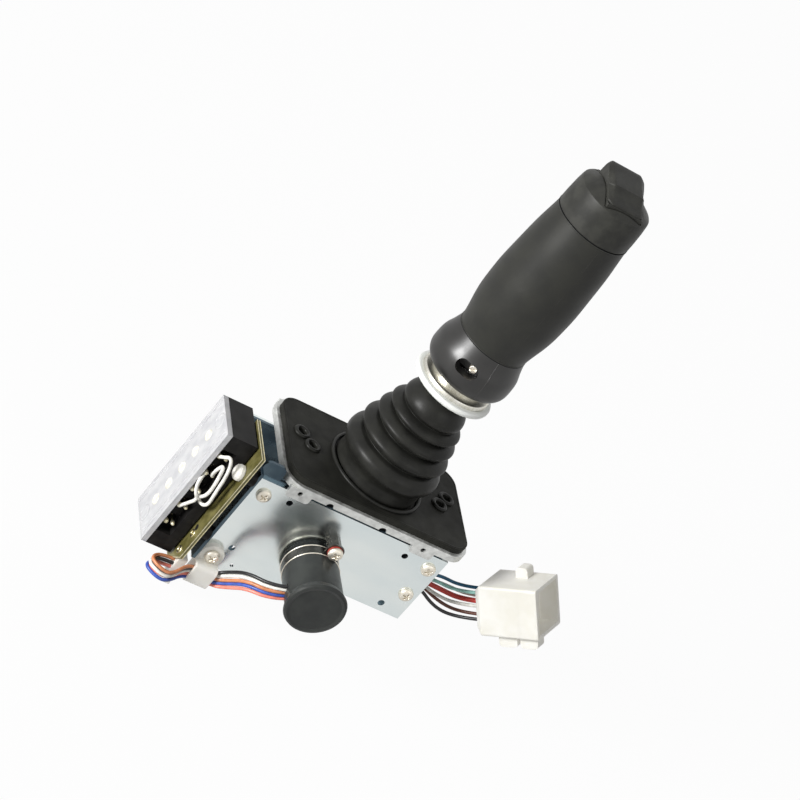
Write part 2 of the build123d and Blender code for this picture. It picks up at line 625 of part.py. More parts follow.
def make_pot_band():
    """Split steel strap with two ears that close on the standoff."""
    outer_r = POT_BODY_R + BAND_THICKNESS
    body = ring("y", outer_r, POT_BODY_R, BAND_FRONT_Y, BAND_BACK_Y, POT_X, POT_Z)
    ear_top = STANDOFF_Z + STANDOFF_R + 0.6
    ear_low = POT_Z + POT_BODY_R
    middle = STANDOFF_X
    ear = block(middle - STANDOFF_R - 1.0, middle + STANDOFF_R + 0.6, BAND_FRONT_Y, BAND_FRONT_Y + BAND_THICKNESS,
                ear_low, ear_top)
    ear = fillet(ear.edges().filter_by(Axis.Y).group_by(Axis.Z)[-1], STANDOFF_R)
    body += ear
    body -= rod("y", POT_BODY_R, BAND_FRONT_Y, BAND_BACK_Y, POT_X, POT_Z)
    return body - rod("y", SCREW_R, BAND_FRONT_Y, BAND_FRONT_Y + BAND_THICKNESS, STANDOFF_X, STANDOFF_Z)


def make_pot_cap():
    """Moulded cap: a slightly flared cup with a rolled rim, and a slot for the leads on its lower left."""
    depth = CAP_LENGTH
    outline = [
        (0, CAP_R), (depth * 0.8, CAP_R + 0.25), (depth - 2.6, CAP_END_R - 0.3), (depth - 1.4, CAP_END_R), (depth - 0.4, CAP_END_R - 0.4),
        (depth, CAP_END_R - 1.4), (depth - 0.5, CAP_END_R - 2.6), (depth - 0.5, 0), (depth - CAP_FLOOR, 0),
        (depth - CAP_FLOOR, CAP_R - CAP_WALL), (0, CAP_R - CAP_WALL),
    ]
    face = make_face(Polyline(*[(r, 0, z) for z, r in outline], close=True))
    cup = revolve(face, Axis.Z, 360)
    cup = Pos(POT_X, CAP_BACK_Y, POT_Z) * Rot(90, 0, 0) * cup
    slot = Pos(POT_X, CAP_BACK_Y - LEAD_START, POT_Z) * Rot(0, LEAD_EXIT_ANGLE, 0) * Pos(CAP_R, 0, 0)
    return cup - slot * Box(8, LEAD_D + 1.0, LEAD_PITCH * 5 + 0.6)


def make_pot_standoff():
    front = BAND_FRONT_Y + BAND_THICKNESS
    outline = Plane(origin=(STANDOFF_X, front, STANDOFF_Z), z_dir=(0, 1, 0)) * RegularPolygon(STANDOFF_R, 6)
    body = extrude(outline, POT_FACE_Y - front)
    return body - rod("y", SCREW_R, front, POT_FACE_Y, STANDOFF_X, STANDOFF_Z)


def make_pot_washer():
    front = BAND_FRONT_Y - WASHER_THICKNESS
    return ring("y", WASHER_R, SCREW_R, front, BAND_FRONT_Y, STANDOFF_X, STANDOFF_Z)


# Board and contact block

BRACKET_OUTER_X = FRAME_LEFT_X - SHEET
BOARD_INNER_X = BRACKET_OUTER_X - BOARD_GAP
BOARD_OUTER_X = BOARD_INNER_X - BOARD_THICKNESS
BLOCK_INNER_X = BOARD_OUTER_X - FOOT_HEIGHT
BLOCK_OUTER_X = BLOCK_INNER_X - BLOCK_WIDTH
COVER_OUTER_X = BLOCK_OUTER_X - COVER_WIDTH
BLOCK_BACK_Y = BLOCK_FRONT_Y + BLOCK_DEPTH
BLOCK_BOTTOM_Z = BLOCK_TOP_Z - BLOCK_HEIGHT
CELL_ZS = [BLOCK_TOP_Z - CELL_TOP - k * CELL_PITCH for k in range(CELLS)]
RECESS_X = (BLOCK_OUTER_X, BLOCK_OUTER_X + RECESS_WIDTH)


def make_circuit_board():
    corners = [
        (BOARD_FRONT_Y, BOARD_TOP_Z), (BOARD_BACK_Y, BOARD_TOP_Z), (BOARD_BACK_Y, BOARD_BOTTOM_Z),
        (BOARD_FRONT_Y + BOARD_CHAMFER, BOARD_BOTTOM_Z), (BOARD_FRONT_Y, BOARD_BOTTOM_Z + BOARD_CHAMFER),
    ]
    face = make_face(Polyline(*[(BOARD_OUTER_X, y, z) for y, z in corners], close=True))
    board = extrude(face, BOARD_THICKNESS, dir=(1, 0, 0))
    for z in SPACER_ZS:
        board -= rod("x", SPACER_STUD_R, BOARD_OUTER_X, BOARD_INNER_X, SPACER_Y, z)
    return board


def make_board_spacers():
    solids = []
    for z in SPACER_ZS:
        post = rod("x", SPACER_POST_R, BOARD_INNER_X, BRACKET_OUTER_X, SPACER_Y, z)
        stud_end = BOARD_OUTER_X - (NUT_THICKNESS if z == SPACER_ZS[0] else 0)
        stud = rod("x", SPACER_STUD_R, stud_end, FRAME_LEFT_X, SPACER_Y, z)
        solids.append(post + stud)
    return solids


def make_spacer_nuts():
    solids = []
    for z in SPACER_ZS[:1]:
        nut = rod("x", NUT_R, BOARD_OUTER_X - NUT_THICKNESS, BOARD_OUTER_X, SPACER_Y, z)
        rim = nut.edges().filter_by(GeomType.CIRCLE).sort_by(Axis.X)[0]
        nut = fillet(rim, NUT_THICKNESS / 2)
        solids.append(nut - rod("x", SPACER_STUD_R, BOARD_OUTER_X - NUT_THICKNESS, BOARD_OUTER_X, SPACER_Y, z))
    return solids


def make_block_base():
    base = block(BLOCK_OUTER_X, BLOCK_INNER_X, BLOCK_FRONT_Y, BLOCK_BACK_Y, BLOCK_BOTTOM_Z, BLOCK_TOP_Z)
    top = CELL_ZS[0] + CELL_PITCH / 2
    bottom = CELL_ZS[-1] - CELL_PITCH / 2
    base -= block(*RECESS_X, BLOCK_FRONT_Y, BLOCK_FRONT_Y + RECESS_DEPTH, bottom, top)
    for z in CELL_ZS:
        base -= block(BLOCK_OUTER_X, BLOCK_OUTER_X + RECESS_WIDTH - 1, BLOCK_FRONT_Y + RECESS_DEPTH,
                      BLOCK_FRONT_Y + RECESS_DEPTH + POCKET_DEPTH, z - POCKET_HEIGHT / 2, z + POCKET_HEIGHT / 2)
    relief = BLOCK_INNER_X - NUT_THICKNESS + FOOT_HEIGHT - NUT_GAP
    base -= rod("x", NUT_R + NUT_GAP, relief, BLOCK_INNER_X, SPACER_Y, SPACER_ZS[0])
    for z in (BLOCK_TOP_Z - FOOT_SIZE, BLOCK_BOTTOM_Z + FOOT_SIZE):
        for y in (BLOCK_FRONT_Y + FOOT_SIZE, BOARD_BACK_Y - FOOT_SIZE):
            base += block(BLOCK_INNER_X, BOARD_OUTER_X, y - FOOT_SIZE / 2, y + FOOT_SIZE / 2,
                          z - FOOT_SIZE / 2, z + FOOT_SIZE / 2)
    return base


def make_block_cover():
    """Clear lid: a shallow tray over the block's outer face, with a flat rim that the contacts stand inside."""
    outer = block(COVER_OUTER_X, BLOCK_OUTER_X, BLOCK_FRONT_Y, BLOCK_BACK_Y, BLOCK_BOTTOM_Z, BLOCK_TOP_Z)
    inner = block(COVER_OUTER_X + COVER_WALL, BLOCK_OUTER_X, BLOCK_FRONT_Y + COVER_WALL, BLOCK_BACK_Y - COVER_WALL,
                  BLOCK_BOTTOM_Z + COVER_WALL, BLOCK_TOP_Z - COVER_WALL)
    return outer - inner


def make_block_contacts():
    middle_y = (BLOCK_FRONT_Y + BLOCK_BACK_Y) / 2
    low = COVER_OUTER_X + COVER_WALL + CONTACT_GAP
    return [rod("x", CONTACT_R, low, BLOCK_OUTER_X, middle_y, z) for z in CELL_ZS]


def make_block_terminals():
    pins = []
    back = BLOCK_FRONT_Y + RECESS_DEPTH + POCKET_DEPTH
    for z in CELL_ZS:
        for k in range(2):
            x = BLOCK_OUTER_X + 1.4 + k * TERMINAL_SPREAD
            y = back - TERMINAL_LENGTH - POCKET_DEPTH
            pins.append(block(x, x + TERMINAL_SIZE, y, back, z - TERMINAL_SIZE / 4, z + TERMINAL_SIZE / 4))
    return pins


TERMINAL_TIP_Y = BLOCK_FRONT_Y + RECESS_DEPTH - TERMINAL_LENGTH
TERMINAL_X = BLOCK_OUTER_X + 1.4 + TERMINAL_SPREAD + TERMINAL_SIZE / 2


def make_jumper(name, top_cell, low_cell, reach, depth):
    """Bare-ended lead that loops out of the recess from one terminal and back into another."""
    x = TERMINAL_X
    top_z = CELL_ZS[top_cell]
    low_z = CELL_ZS[low_cell]
    y = TERMINAL_TIP_Y
    points = [
        (x, y, top_z), (x, y - depth * 0.6, top_z), (x + reach, y - depth, top_z - 2.5),
        (x + reach + 0.6, y - depth - 0.4, (top_z + low_z) / 2), (x, y - depth * 0.7, low_z), (x, y, low_z),
    ]
    return tube(name, points, JUMPER_D, limp_limit=1.0)


def make_lead_header():
    depth, width, height = HEADER_SIZE
    return block(BOARD_INNER_X, BOARD_INNER_X + depth, HEADER_Y - width / 2, HEADER_Y + width / 2,
                 HEADER_Z - height, HEADER_Z)


# Leads from the potentiometer, through the clip, to the header on the board

LEAD_START = 12.5
LEAD_EXIT_ANGLE = 157.0
LEADS = ("black", "white", "brown", "blue", "red")
CLIP_LOOP_Y = POT_FACE_Y - CLIP_STRIP - CLIP_INNER_WIDTH / 2


def oblong(grow, x0, x1):
    """Bar along X with a rounded section, centred on the clip's loop and larger than its inside by grow all round."""
    face = Plane(origin=(x0, CLIP_LOOP_Y, CLIP_LOOP_Z), x_dir=(0, 1, 0), z_dir=(1, 0, 0))
    width = CLIP_INNER_WIDTH + 2 * grow
    height = CLIP_INNER_HEIGHT + 2 * grow
    return extrude(face * RectangleRounded(width, height, CLIP_INNER_CORNER + grow), x1 - x0)


def make_p_clip():
    x0 = CLIP_SCREW[0] - CLIP_WIDTH / 2
    x1 = CLIP_SCREW[0] + CLIP_WIDTH / 2
    front = POT_FACE_Y - 2 * CLIP_STRIP
    tab = block(x0, x1, front, POT_FACE_Y, CLIP_LOOP_Z, CLIP_SCREW[1] + CLIP_TAB_R)
    tab = fillet(tab.edges().filter_by(Axis.Y).group_by(Axis.Z)[-1], CLIP_TAB_R * 0.98)
    body = tab + oblong(CLIP_STRIP, x0, x1) - oblong(0, x0, x1)
    return body - rod("y", SCREW_R, front, POT_FACE_Y, *CLIP_SCREW)


def ribbon_line():
    """Middle of the flat ribbon of leads: out of the cap, through the clip, round a half turn to the header."""
    out_x = cos(radians(LEAD_EXIT_ANGLE))
    out_z = -sin(radians(LEAD_EXIT_ANGLE))
    row_y = CAP_BACK_Y - LEAD_START
    turn_x = BOARD_OUTER_X - LEAD_TURN_GAP
    turn_y = HEADER_Y - LEAD_TURN_R
    low_z = BOARD_BOTTOM_Z + 0.9 - 2 * LEAD_PITCH
    corner = LEAD_TURN_R / cos(radians(30))
    line = [
        (POT_X + POT_BODY_R * out_x, row_y, POT_Z + POT_BODY_R * out_z),
        (POT_X + (POT_BODY_R + LEAD_OUT) * out_x, row_y, POT_Z + (POT_BODY_R + LEAD_OUT) * out_z),
        (-39.0, -42.4, -50.6), (-42.4, -35.6, -59.4), (-46.6, LEAD_CLIP_Y, CLIP_LOOP_Z),
        (-60.0, LEAD_CLIP_Y, CLIP_LOOP_Z), (turn_x + 3.8, HEADER_Y - 2 * LEAD_TURN_R, low_z),
    ]
    for angle in (240, 180, 120):
        line.append((turn_x + corner * cos(radians(angle)), turn_y + corner * sin(radians(angle)), low_z))
    line.append((BOARD_INNER_X, HEADER_Y, low_z))
    return line


def lead_route(k):
    """One lead of the ribbon: the ribbon's line moved up or down, square to its slope at each point."""
    line = [Vector(*p) for p in ribbon_line()]
    offset = (2 - k) * LEAD_PITCH
    route = []
    for i, here in enumerate(line):
        before = (here - line[i - 1]).normalized() if i else None
        after = (line[i + 1] - here).normalized() if i + 1 < len(line) else before
        before = before or after
        level = Vector(before.X + after.X, before.Y + after.Y, 0).normalized()
        slope = (asin(before.Z) + asin(after.Z)) / 2
        mitre = 1 / cos((asin(after.Z) - asin(before.Z)) / 2)
        normal = Vector(0, 0, 1) * cos(slope) - level * sin(slope)
        route.append(here + normal * (offset * mitre))
    return route


# Harness and connector

BACK = Vector(*CONNECTOR_BACK)
AXIS_OUT = Vector(*CONNECTOR_X).normalized()
AXIS_DOWN = (Vector(*CONNECTOR_DOWN) - AXIS_OUT * Vector(*CONNECTOR_DOWN).dot(AXIS_OUT)).normalized()
CONNECTOR_PLANE = Plane(origin=CONNECTOR_BACK, x_dir=AXIS_DOWN, z_dir=AXIS_OUT)
BODY_LENGTH = CONNECTOR_LENGTH - MOUTH_DEPTH
HARNESS = {
    "teal": (-1, 0, WIRE_D), "aqua": (-1, 1, WIRE_D), "white": (0, 1, WIRE_D), "black": (1, 1, WIRE_D),
    "brown": (1, 0, WIRE_D), "grey": (0, -1, WIRE_D), "red": (0, 0, POWER_WIRE_D),
}


def make_harness_clamp():
    x0, x1 = CLAMP_X
    half = SLEEVE_D / 2 + CLAMP_WALL
    body = rod("x", half, x0, x1, CLAMP_Y, CLAMP_Z)
    body += block(x0, x1, -WALL_INNER_Y, CLAMP_Y, CLAMP_Z - half / 2, CLAMP_Z + half / 2)
    return body - rod("x", SLEEVE_D / 2, x0, x1, CLAMP_Y, CLAMP_Z)


def sleeve_route():
    end_x = CLAMP_X[1] + SLEEVE_OUT
    return [
        (BOARD_INNER_X, -17.5, -54.0), (-54.0, -17.5, -54.0), (-33.0, -9.0, -54.5), (-12.0, -2.5, -53.0),
        (1.0, CLAMP_Y, -46.5), (8.0, CLAMP_Y, CLAMP_Z), (end_x, CLAMP_Y, CLAMP_Z),
    ]


def make_harness_sleeve():
    return tube("harness_sleeve", sleeve_route(), SLEEVE_D, limp_limit=1.8)


def harness_route(colour):
    row, column, _ = HARNESS[colour]
    order = list(HARNESS).index(colour)
    angle = 2 * pi * (order + 1) / (len(HARNESS) - 1)
    radius = 0.0 if colour == "red" else 2.1
    start_x = CLAMP_X[1] + SLEEVE_OUT
    dy = radius * cos(angle)
    dz = radius * sin(angle)
    end = BACK + AXIS_DOWN * (row * CELL_SPACING) + CONNECTOR_PLANE.y_dir * (column * CELL_SPACING * -1)
    near = end - AXIS_OUT * 11.5
    return [
        (start_x, CLAMP_Y + dy, CLAMP_Z + dz),
        (start_x + 8.0, CLAMP_Y + dy, CLAMP_Z + dz),
        (49.0, -8.0 + 1.05 * dy, -36.0 + 1.05 * dz - 0.4 * row),
        (near.X - 11.0, near.Y + 3.0, near.Z - 1.8 - 0.6 * row),
        (near.X, near.Y, near.Z),
        (end.X, end.Y, end.Z),
    ]


def connector_box(length, height, width, start):
    """Box in the connector's own frame, centred on its axis, from start along it."""
    return CONNECTOR_PLANE * Pos(0, 0, start + length / 2) * Box(height, width, length)


def make_connector_body():
    body = Box(CONNECTOR_HEIGHT, CONNECTOR_WIDTH, BODY_LENGTH)
    body = chamfer(body.faces().sort_by(Axis.Z)[0].edges(), CONNECTOR_BACK_BEVEL)
    body = fillet(body.edges().filter_by(Axis.Z), CONNECTOR_EDGE_R)
    body = CONNECTOR_PLANE * Pos(0, 0, BODY_LENGTH / 2) * body
    for row in (-1, 0, 1):
        for column in (-1, 0, 1):
            hole = Pos(row * CELL_SPACING, column * CELL_SPACING, BODY_LENGTH - SOCKET_DEPTH / 2)
            body -= CONNECTOR_PLANE * hole * Cylinder(SOCKET_R, SOCKET_DEPTH)
    return body


def make_connector_shroud():
    outer = fillet(Box(CONNECTOR_HEIGHT, CONNECTOR_WIDTH, MOUTH_DEPTH).edges().filter_by(Axis.Z), CONNECTOR_EDGE_R)
    inner = Box(CONNECTOR_HEIGHT - 2 * CONNECTOR_WALL, CONNECTOR_WIDTH - 2 * CONNECTOR_WALL, MOUTH_DEPTH)
    return CONNECTOR_PLANE * Pos(0, 0, BODY_LENGTH + MOUTH_DEPTH / 2) * (outer - inner)


def make_connector_latches():
    """The lock lug on the top face and the two key lugs under the near edge."""
    solids = []
    for side, start, length, height, width, offset in LATCHES:
        lug = fillet(Box(height, width, length).edges().filter_by(Axis.Y), LATCH_EDGE_R)
        place = Pos(side * (CONNECTOR_HEIGHT + height) / 2, offset, start + length / 2)
        foot = Pos(side * (CONNECTOR_HEIGHT + height / 2) / 2, offset, start + length / 2)
        solids.append(CONNECTOR_PLANE * (place * lug + foot * Box(height / 2, width, length)))
    return solids


# Handle, lock ring and rocker

def make_handle_shell(start):
    """Half of the moulded handle: the collar with its spring cavity, and the core that the grip is drawn over."""
    cavity_top = COLLAR_BOTTOM_Z + COLLAR_CAVITY_DEPTH
    closing = [
        (COLLAR_LINE[-1][0], CORE_R), (CORE_TOP_Z, CORE_R), (CORE_TOP_Z, BATTERY_R), (BATTERY_BOTTOM_Z, BATTERY_R),
        (BATTERY_BOTTOM_Z, LEVER_ROD_R), (cavity_top, LEVER_ROD_R), (cavity_top, COLLAR_CAVITY_R),
        (COLLAR_BOTTOM_Z, COLLAR_CAVITY_R),
    ]
    return smooth_lathe(COLLAR_LINE, closing, 180, start)


def radial(azimuth, z):
    return Rot(0, 0, azimuth) * Pos(0, 0, z) * Rot(0, 90, 0)


def screw_slot():
    outer = 22.0
    slot = SlotOverall(SCREW_SLOT_LENGTH, SCREW_SLOT_HEIGHT)
    cut = extrude(Rot(0, 0, 90) * slot, SCREW_SLOT_DEPTH + 2.0)
    return radial(SCREW_SLOT_AZIMUTH, SCREW_SLOT_Z) * Pos(0, 0, outer - SCREW_SLOT_DEPTH - 2.0) * cut


def set_screw(start, end):
    return radial(SET_SCREW_AZIMUTH, SCREW_SLOT_Z) * Pos(0, 0, (start + end) / 2) * Cylinder(SET_SCREW_R, end - start)


def make_grip_sleeve():
    closing = [(GRIP_LINE[-1][0], CORE_R), (GRIP_LINE[0][0], CORE_R)]
    return smooth_lathe(GRIP_LINE, closing)


def make_head_cap():
    seam = GRIP_LINE[-1][0] + CAP_SEAM_GAP
    outer = Spline(*[(r, 0, z) for z, r in CAP_LINE])
    closing = [CAP_LINE[-1], (CAP_TOP_Z, 0), (CAP_LINE[0][0], 0), CAP_LINE[0]]
    rest = Polyline(*[(r, 0, z) for z, r in closing])
    body = turned_shape(make_face(outer + rest))
    body -= rod("z", CORE_R, seam - 1, CORE_TOP_Z + 1.2, 0, 0)
    half = ROCKER_HALF + ROCKER_GAP
    body -= block(-half, half, -CORE_R - 6, CORE_R + 6, DECK_Z, CAP_TOP_Z + 1)
    well = CORE_R - HEAD_WALL
    body -= block(-half, half, ROCKER_AXIS_Y - well + 1, ROCKER_AXIS_Y + well - 1, ROCKER_AXIS_Z - ROCKER_HUB_R - 2, DECK_Z)
    sensor_x, sensor_y, sensor_z = SENSOR_SIZE
    floor = ROCKER_AXIS_Z - ROCKER_HUB_R - 2
    body -= block(-sensor_x / 2, sensor_x / 2, ROCKER_AXIS_Y - sensor_y / 2, ROCKER_AXIS_Y + sensor_y / 2,
                  floor - sensor_z, floor)
    return body - rod("x", ROCKER_PIN_R, -half - 3, half + 3, ROCKER_AXIS_Y, ROCKER_AXIS_Z)


def make_rocker_sensor():
    x, y, z = SENSOR_SIZE
    floor = ROCKER_AXIS_Z - ROCKER_HUB_R - 2
    return block(-x / 2, x / 2, ROCKER_AXIS_Y - y / 2, ROCKER_AXIS_Y + y / 2, floor - z, floor)


def make_rocker():
    outline = [(-ROCKER_HALF, y, z) for y, z in ROCKER_LINE]
    body = extrude(make_face(Polyline(*outline, close=True)), 2 * ROCKER_HALF, dir=(1, 0, 0))
    top = body.edges().filter_by(Axis.X).group_by(Axis.Z)[-1]
    body = fillet(top, 1.0)
    skirt = block(-ROCKER_HALF, ROCKER_HALF, ROCKER_AXIS_Y - 5, ROCKER_AXIS_Y + 5, ROCKER_AXIS_Z, ROCKER_LINE[0][1])
    body += skirt + rod("x", ROCKER_HUB_R, -ROCKER_HALF, ROCKER_HALF, ROCKER_AXIS_Y, ROCKER_AXIS_Z)
    return body - rod("x", ROCKER_PIN_R + RUN, -ROCKER_HALF, ROCKER_HALF, ROCKER_AXIS_Y, ROCKER_AXIS_Z)


def make_rocker_pin():
    reach = ROCKER_HALF + ROCKER_GAP + 3
    return rod("x", ROCKER_PIN_R, -reach, reach, ROCKER_AXIS_Y, ROCKER_AXIS_Z)


def make_lock_ring():
    bore = LEVER_ROD_R + RING_BORE_GAP
    top = RING_BOTTOM_Z + RING_DISC_HEIGHT
    outline = [
        (RING_BOTTOM_Z, bore), (RING_BOTTOM_Z, RING_DISC_R - 2.0), (RING_BOTTOM_Z + 0.8, RING_DISC_R - 0.6),
        (RING_BOTTOM_Z + 2.2, RING_DISC_R), (top - 2.0, RING_DISC_R), (top - 0.6, RING_DISC_R - 0.6),
        (top, RING_DISC_R - 2.0), (top, RING_HUB_R), (top + RING_HUB_HEIGHT, RING_HUB_R), (top + RING_HUB_HEIGHT, bore),
    ]
    return lathe(outline)


def make_ring_spring():
    start = RING_BOTTOM_Z + RING_DISC_HEIGHT + RING_HUB_HEIGHT + RING_SPRING_WIRE
    end = COLLAR_BOTTOM_Z + COLLAR_CAVITY_DEPTH - RING_SPRING_WIRE
    helix = Helix(pitch=(end - start) / RING_SPRING_TURNS, height=end - start, radius=RING_SPRING_R)
    path = Pos(0, 0, start) * helix
    return sweep(Plane(origin=path @ 0, z_dir=path % 0) * Circle(RING_SPRING_WIRE), path=path)


def main():
    os.makedirs("parts", exist_ok=True)
    print(f"gear module {GEAR_MODULE:.3f}, centre distance {LINE_LENGTH:.2f}")
    save("boot_flange", make_boot_flange())
    save("bellows", make_bellows())
    save("mounting_plate", make_mounting_plate())
    save("front_side_plate", make_side_plate(-1))
    save("rear_side_plate", make_side_plate(1))
    save("inner_frame", make_inner_frame())
    save("end_bracket", make_end_bracket())
    save("frame_screws", *make_frame_screws())
    save("pivot_pin", rod("y", PIN_R, -SIDE_INNER_Y, SIDE_INNER_Y, 0, PIVOT_Z))
    save("pivot_spacers", *make_pivot_spacers())
    coil, legs = make_return_spring()
    save("return_spring", coil + legs[0] + legs[1])
    save("spring_post", make_spring_post())
    save("pot_body", make_pot_body())
    save("pot_nut", make_pot_nut())
    save("pot_clamp_band", make_pot_band())
    save("pot_cap", make_pot_cap())
    save("pot_standoff", make_pot_standoff())
    save("pot_washer", make_pot_washer())
    save("pot_shaft", make_pot_shaft())
    save("pinion", make_pinion())
    save("circuit_board", make_circuit_board())
    save("board_spacers", *make_board_spacers())
    save("spacer_nut", *make_spacer_nuts())
    save("block_base", make_block_base())
    save("block_cover", make_block_cover())
    save("block_contacts", *make_block_contacts(), *make_block_terminals())
    save("jumper_wires", *[make_jumper(f"jumper {k}", *jumper) for k, jumper in enumerate(JUMPERS)])
    save("lead_header", make_lead_header())
    save("p_clip", make_p_clip())
    for k, colour in enumerate(LEADS):
        save(f"lead_{colour}", tube(f"lead_{colour}", lead_route(k), LEAD_D, largest=LEAD_LARGEST_ARC))
    save("harness_sleeve", make_harness_sleeve())
    save("harness_clamp", make_harness_clamp())
    for colour in HARNESS:
        save(f"harness_{colour}", tube(f"harness_{colour}", harness_route(colour), HARNESS[colour][2]))
    save("connector_body", make_connector_body() + make_connector_latches())
    save("connector_shroud", make_connector_shroud())
    save("lever_rod", make_lever_rod())
    save("lever_hub", make_lever_hub())
    save("hub_bushings", *make_hub_bushings())
    save("sector_gear", make_sector_gear())
    slot = screw_slot()
    screw = set_screw(LEVER_ROD_R, SET_SCREW_END_R)
    save("handle_shell_left", make_handle_shell(90) - slot - screw)
    save("handle_shell_right", make_handle_shell(-90))
    save("handle_set_screw", screw)
    save("grip_sleeve", make_grip_sleeve())
    save("head_cap", make_head_cap())
    save("rocker_sensor", make_rocker_sensor())
    save("rocker_pin", make_rocker_pin())
    save("rocker", make_rocker())
    save("lock_ring", make_lock_ring())
    save("ring_spring", make_ring_spring())


main()
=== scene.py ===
# %% [markdown]
# # Dressing an industrial joystick
#
# The solids of this joystick come from a CAD model: a lever in a rubber boot, a geared potentiometer, a block of
# switch contacts and a short harness. This lesson gives them the finish of the real object and replaces the pieces
# that a solid model shows too plainly: the boot, the wires, the screw heads and the thumb rocker.
#
# Each new shape is a surface worked out with numpy: a function of two parameters on a grid, or a profile carried
# along a path. Each finish is a small tree of nodes that reads the object's own coordinates.

import bpy
import numpy as np
from mathutils import Matrix


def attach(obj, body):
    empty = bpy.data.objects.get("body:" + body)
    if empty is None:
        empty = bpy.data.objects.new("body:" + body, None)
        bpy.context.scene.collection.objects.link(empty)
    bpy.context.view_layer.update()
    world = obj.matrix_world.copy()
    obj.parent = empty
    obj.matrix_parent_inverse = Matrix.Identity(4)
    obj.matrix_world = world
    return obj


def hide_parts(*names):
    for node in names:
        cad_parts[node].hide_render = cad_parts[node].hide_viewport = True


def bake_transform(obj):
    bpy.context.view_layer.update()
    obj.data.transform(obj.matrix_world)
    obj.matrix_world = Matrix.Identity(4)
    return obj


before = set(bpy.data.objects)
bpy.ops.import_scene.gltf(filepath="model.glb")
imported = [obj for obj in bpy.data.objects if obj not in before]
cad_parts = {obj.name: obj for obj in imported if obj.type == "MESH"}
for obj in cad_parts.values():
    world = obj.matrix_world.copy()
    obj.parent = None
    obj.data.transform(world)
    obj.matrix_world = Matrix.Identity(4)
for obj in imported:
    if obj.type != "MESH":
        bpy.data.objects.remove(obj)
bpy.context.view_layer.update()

# %% [markdown]
# ## The camera
#
# The photograph was taken with a long lens from the lever's left front, looking down, with the camera rolled so that
# the lever leans to the upper right. Three directions describe that view without any angles: which way the picture's
# right side, its top and its depth point in the object's frame. Together they are the columns of the camera's matrix.

# %% Camera
right = np.array([0.8065, -0.1176, 0.5794])
up = np.array([-0.3894, 0.6317, 0.6703])
right /= np.linalg.norm(right)
up -= right * right.dot(up)
up /= np.linalg.norm(up)
back = np.cross(right, up)
camera_place = (-0.5823, -0.9769, 0.6307)
camera_matrix = np.eye(4)
camera_matrix[:3, :4] = np.column_stack([right, up, back, camera_place])

lens = bpy.data.cameras.new("view")
lens.lens = 132.67
lens.sensor_width = 36.0
lens.clip_end = 20.0
camera = bpy.data.objects.new("view", lens)
camera.matrix_world = Matrix(camera_matrix.tolist())
bpy.context.collection.objects.link(camera)
bpy.context.scene.camera = camera
bpy.context.scene.view_settings.view_transform = "Standard"
print("camera looks along", (-back).round(3))

# %% [markdown]
# ## Helpers for meshes
#
# Almost every new piece is a tube: rings of points in rows, joined by quads. A tube either ends in two flat discs, or
# its last row joins its first. `tube_faces` finds the faces, `add_tubes` makes one mesh of one or more tubes of the
# same size, and `turned` carries a profile round an axis. The points and faces are worked out as whole arrays, so the
# same few lines make a screw head and a bellows.

# %% Mesh helpers
MM = 0.001


def add_piece(name, points, faces, smooth=True):
    """Points in millimetres and a list of faces become a mesh object at the origin."""
    mesh = bpy.data.meshes.new(name)
    mesh.from_pydata((np.asarray(points, float).reshape(-1, 3) * MM).tolist(), [], [list(f) for f in faces])
    mesh.validate()
    if smooth:
        mesh.shade_smooth()
    else:
        mesh.shade_flat()
    piece = bpy.data.objects.new(name, mesh)
    bpy.context.collection.objects.link(piece)
    return piece


def tube_faces(rows, columns, closed, first=0):
    """The faces of one tube: quads between neighbouring points, where each row is a ring. A closed tube joins its last
    row to its first, an open one gets a flat disc at each end."""
    i, j = np.meshgrid(np.arange(rows if closed else rows - 1), np.arange(columns), indexing="ij")
    i2, j2 = (i + 1) % rows, (j + 1) % columns
    quads = np.stack([i * columns + j, i * columns + j2, i2 * columns + j2, i2 * columns + j], axis=-1)
    faces = (quads.reshape(-1, 4) + first).tolist()
    if not closed:
        last = first + (rows - 1) * columns
        faces += [list(range(first, first + columns))[::-1], list(range(last, last + columns))]
    return faces


def add_tubes(name, tubes, closed=False, flip=False, smooth=True):
    """One mesh of tubes with equal grids of points. Flip turns the faces of tubes whose rings run the other way."""
    rows, columns = tubes[0].shape[:2]
    faces = [f for k in range(len(tubes)) for f in tube_faces(rows, columns, closed, first=k * rows * columns)]
    if flip:
        faces = [f[::-1] for f in faces]
    return add_piece(name, np.vstack([tube.reshape(-1, 3) for tube in tubes]), faces, smooth)


def turned_points(line, turns, axis, start):
    """A profile of (distance d, radius r) round an axis: point = start + axis*d + r*(u cos t + v sin t)."""
    line = np.asarray(line, float)
    axis = np.asarray(axis, float) / np.linalg.norm(axis)
    u = np.cross(axis, (0.3, 0.5, 0.81))
    u /= np.linalg.norm(u)
    v = np.cross(axis, u)
    t = np.linspace(0, 2 * np.pi, turns, endpoint=False)
    spoke = np.outer(np.cos(t), u) + np.outer(np.sin(t), v)
    return np.asarray(start) + line[:, None, :1] * axis + line[:, None, 1:2] * spoke[None]


def turned(name, line, turns=96, axis=(0, 0, 1), start=(0, 0, 0), closed=False):
    """One turned piece. A closed profile makes a ring, an open one gets a flat disc at each end."""
    return add_tubes(name, [turned_points(line, turns, axis, start)], closed)


def smooth_line(points, count):
    """A curve through all the points: each span is a cubic whose end slopes are those between its neighbours."""
    p = np.asarray(points, float)
    q = np.vstack([2 * p[0] - p[1], p, 2 * p[-1] - p[-2]])
    s = np.linspace(0, len(p) - 1, count)
    k = np.minimum(s.astype(int), len(p) - 2)
    f = (s - k)[:, None]
    a, b, c, d = q[k], q[k + 1], q[k + 2], q[k + 3]
    return b + 0.5 * f * (c - a + f * (2 * a - 5 * b + 4 * c - d + f * (3 * (b - c) + d - a)))


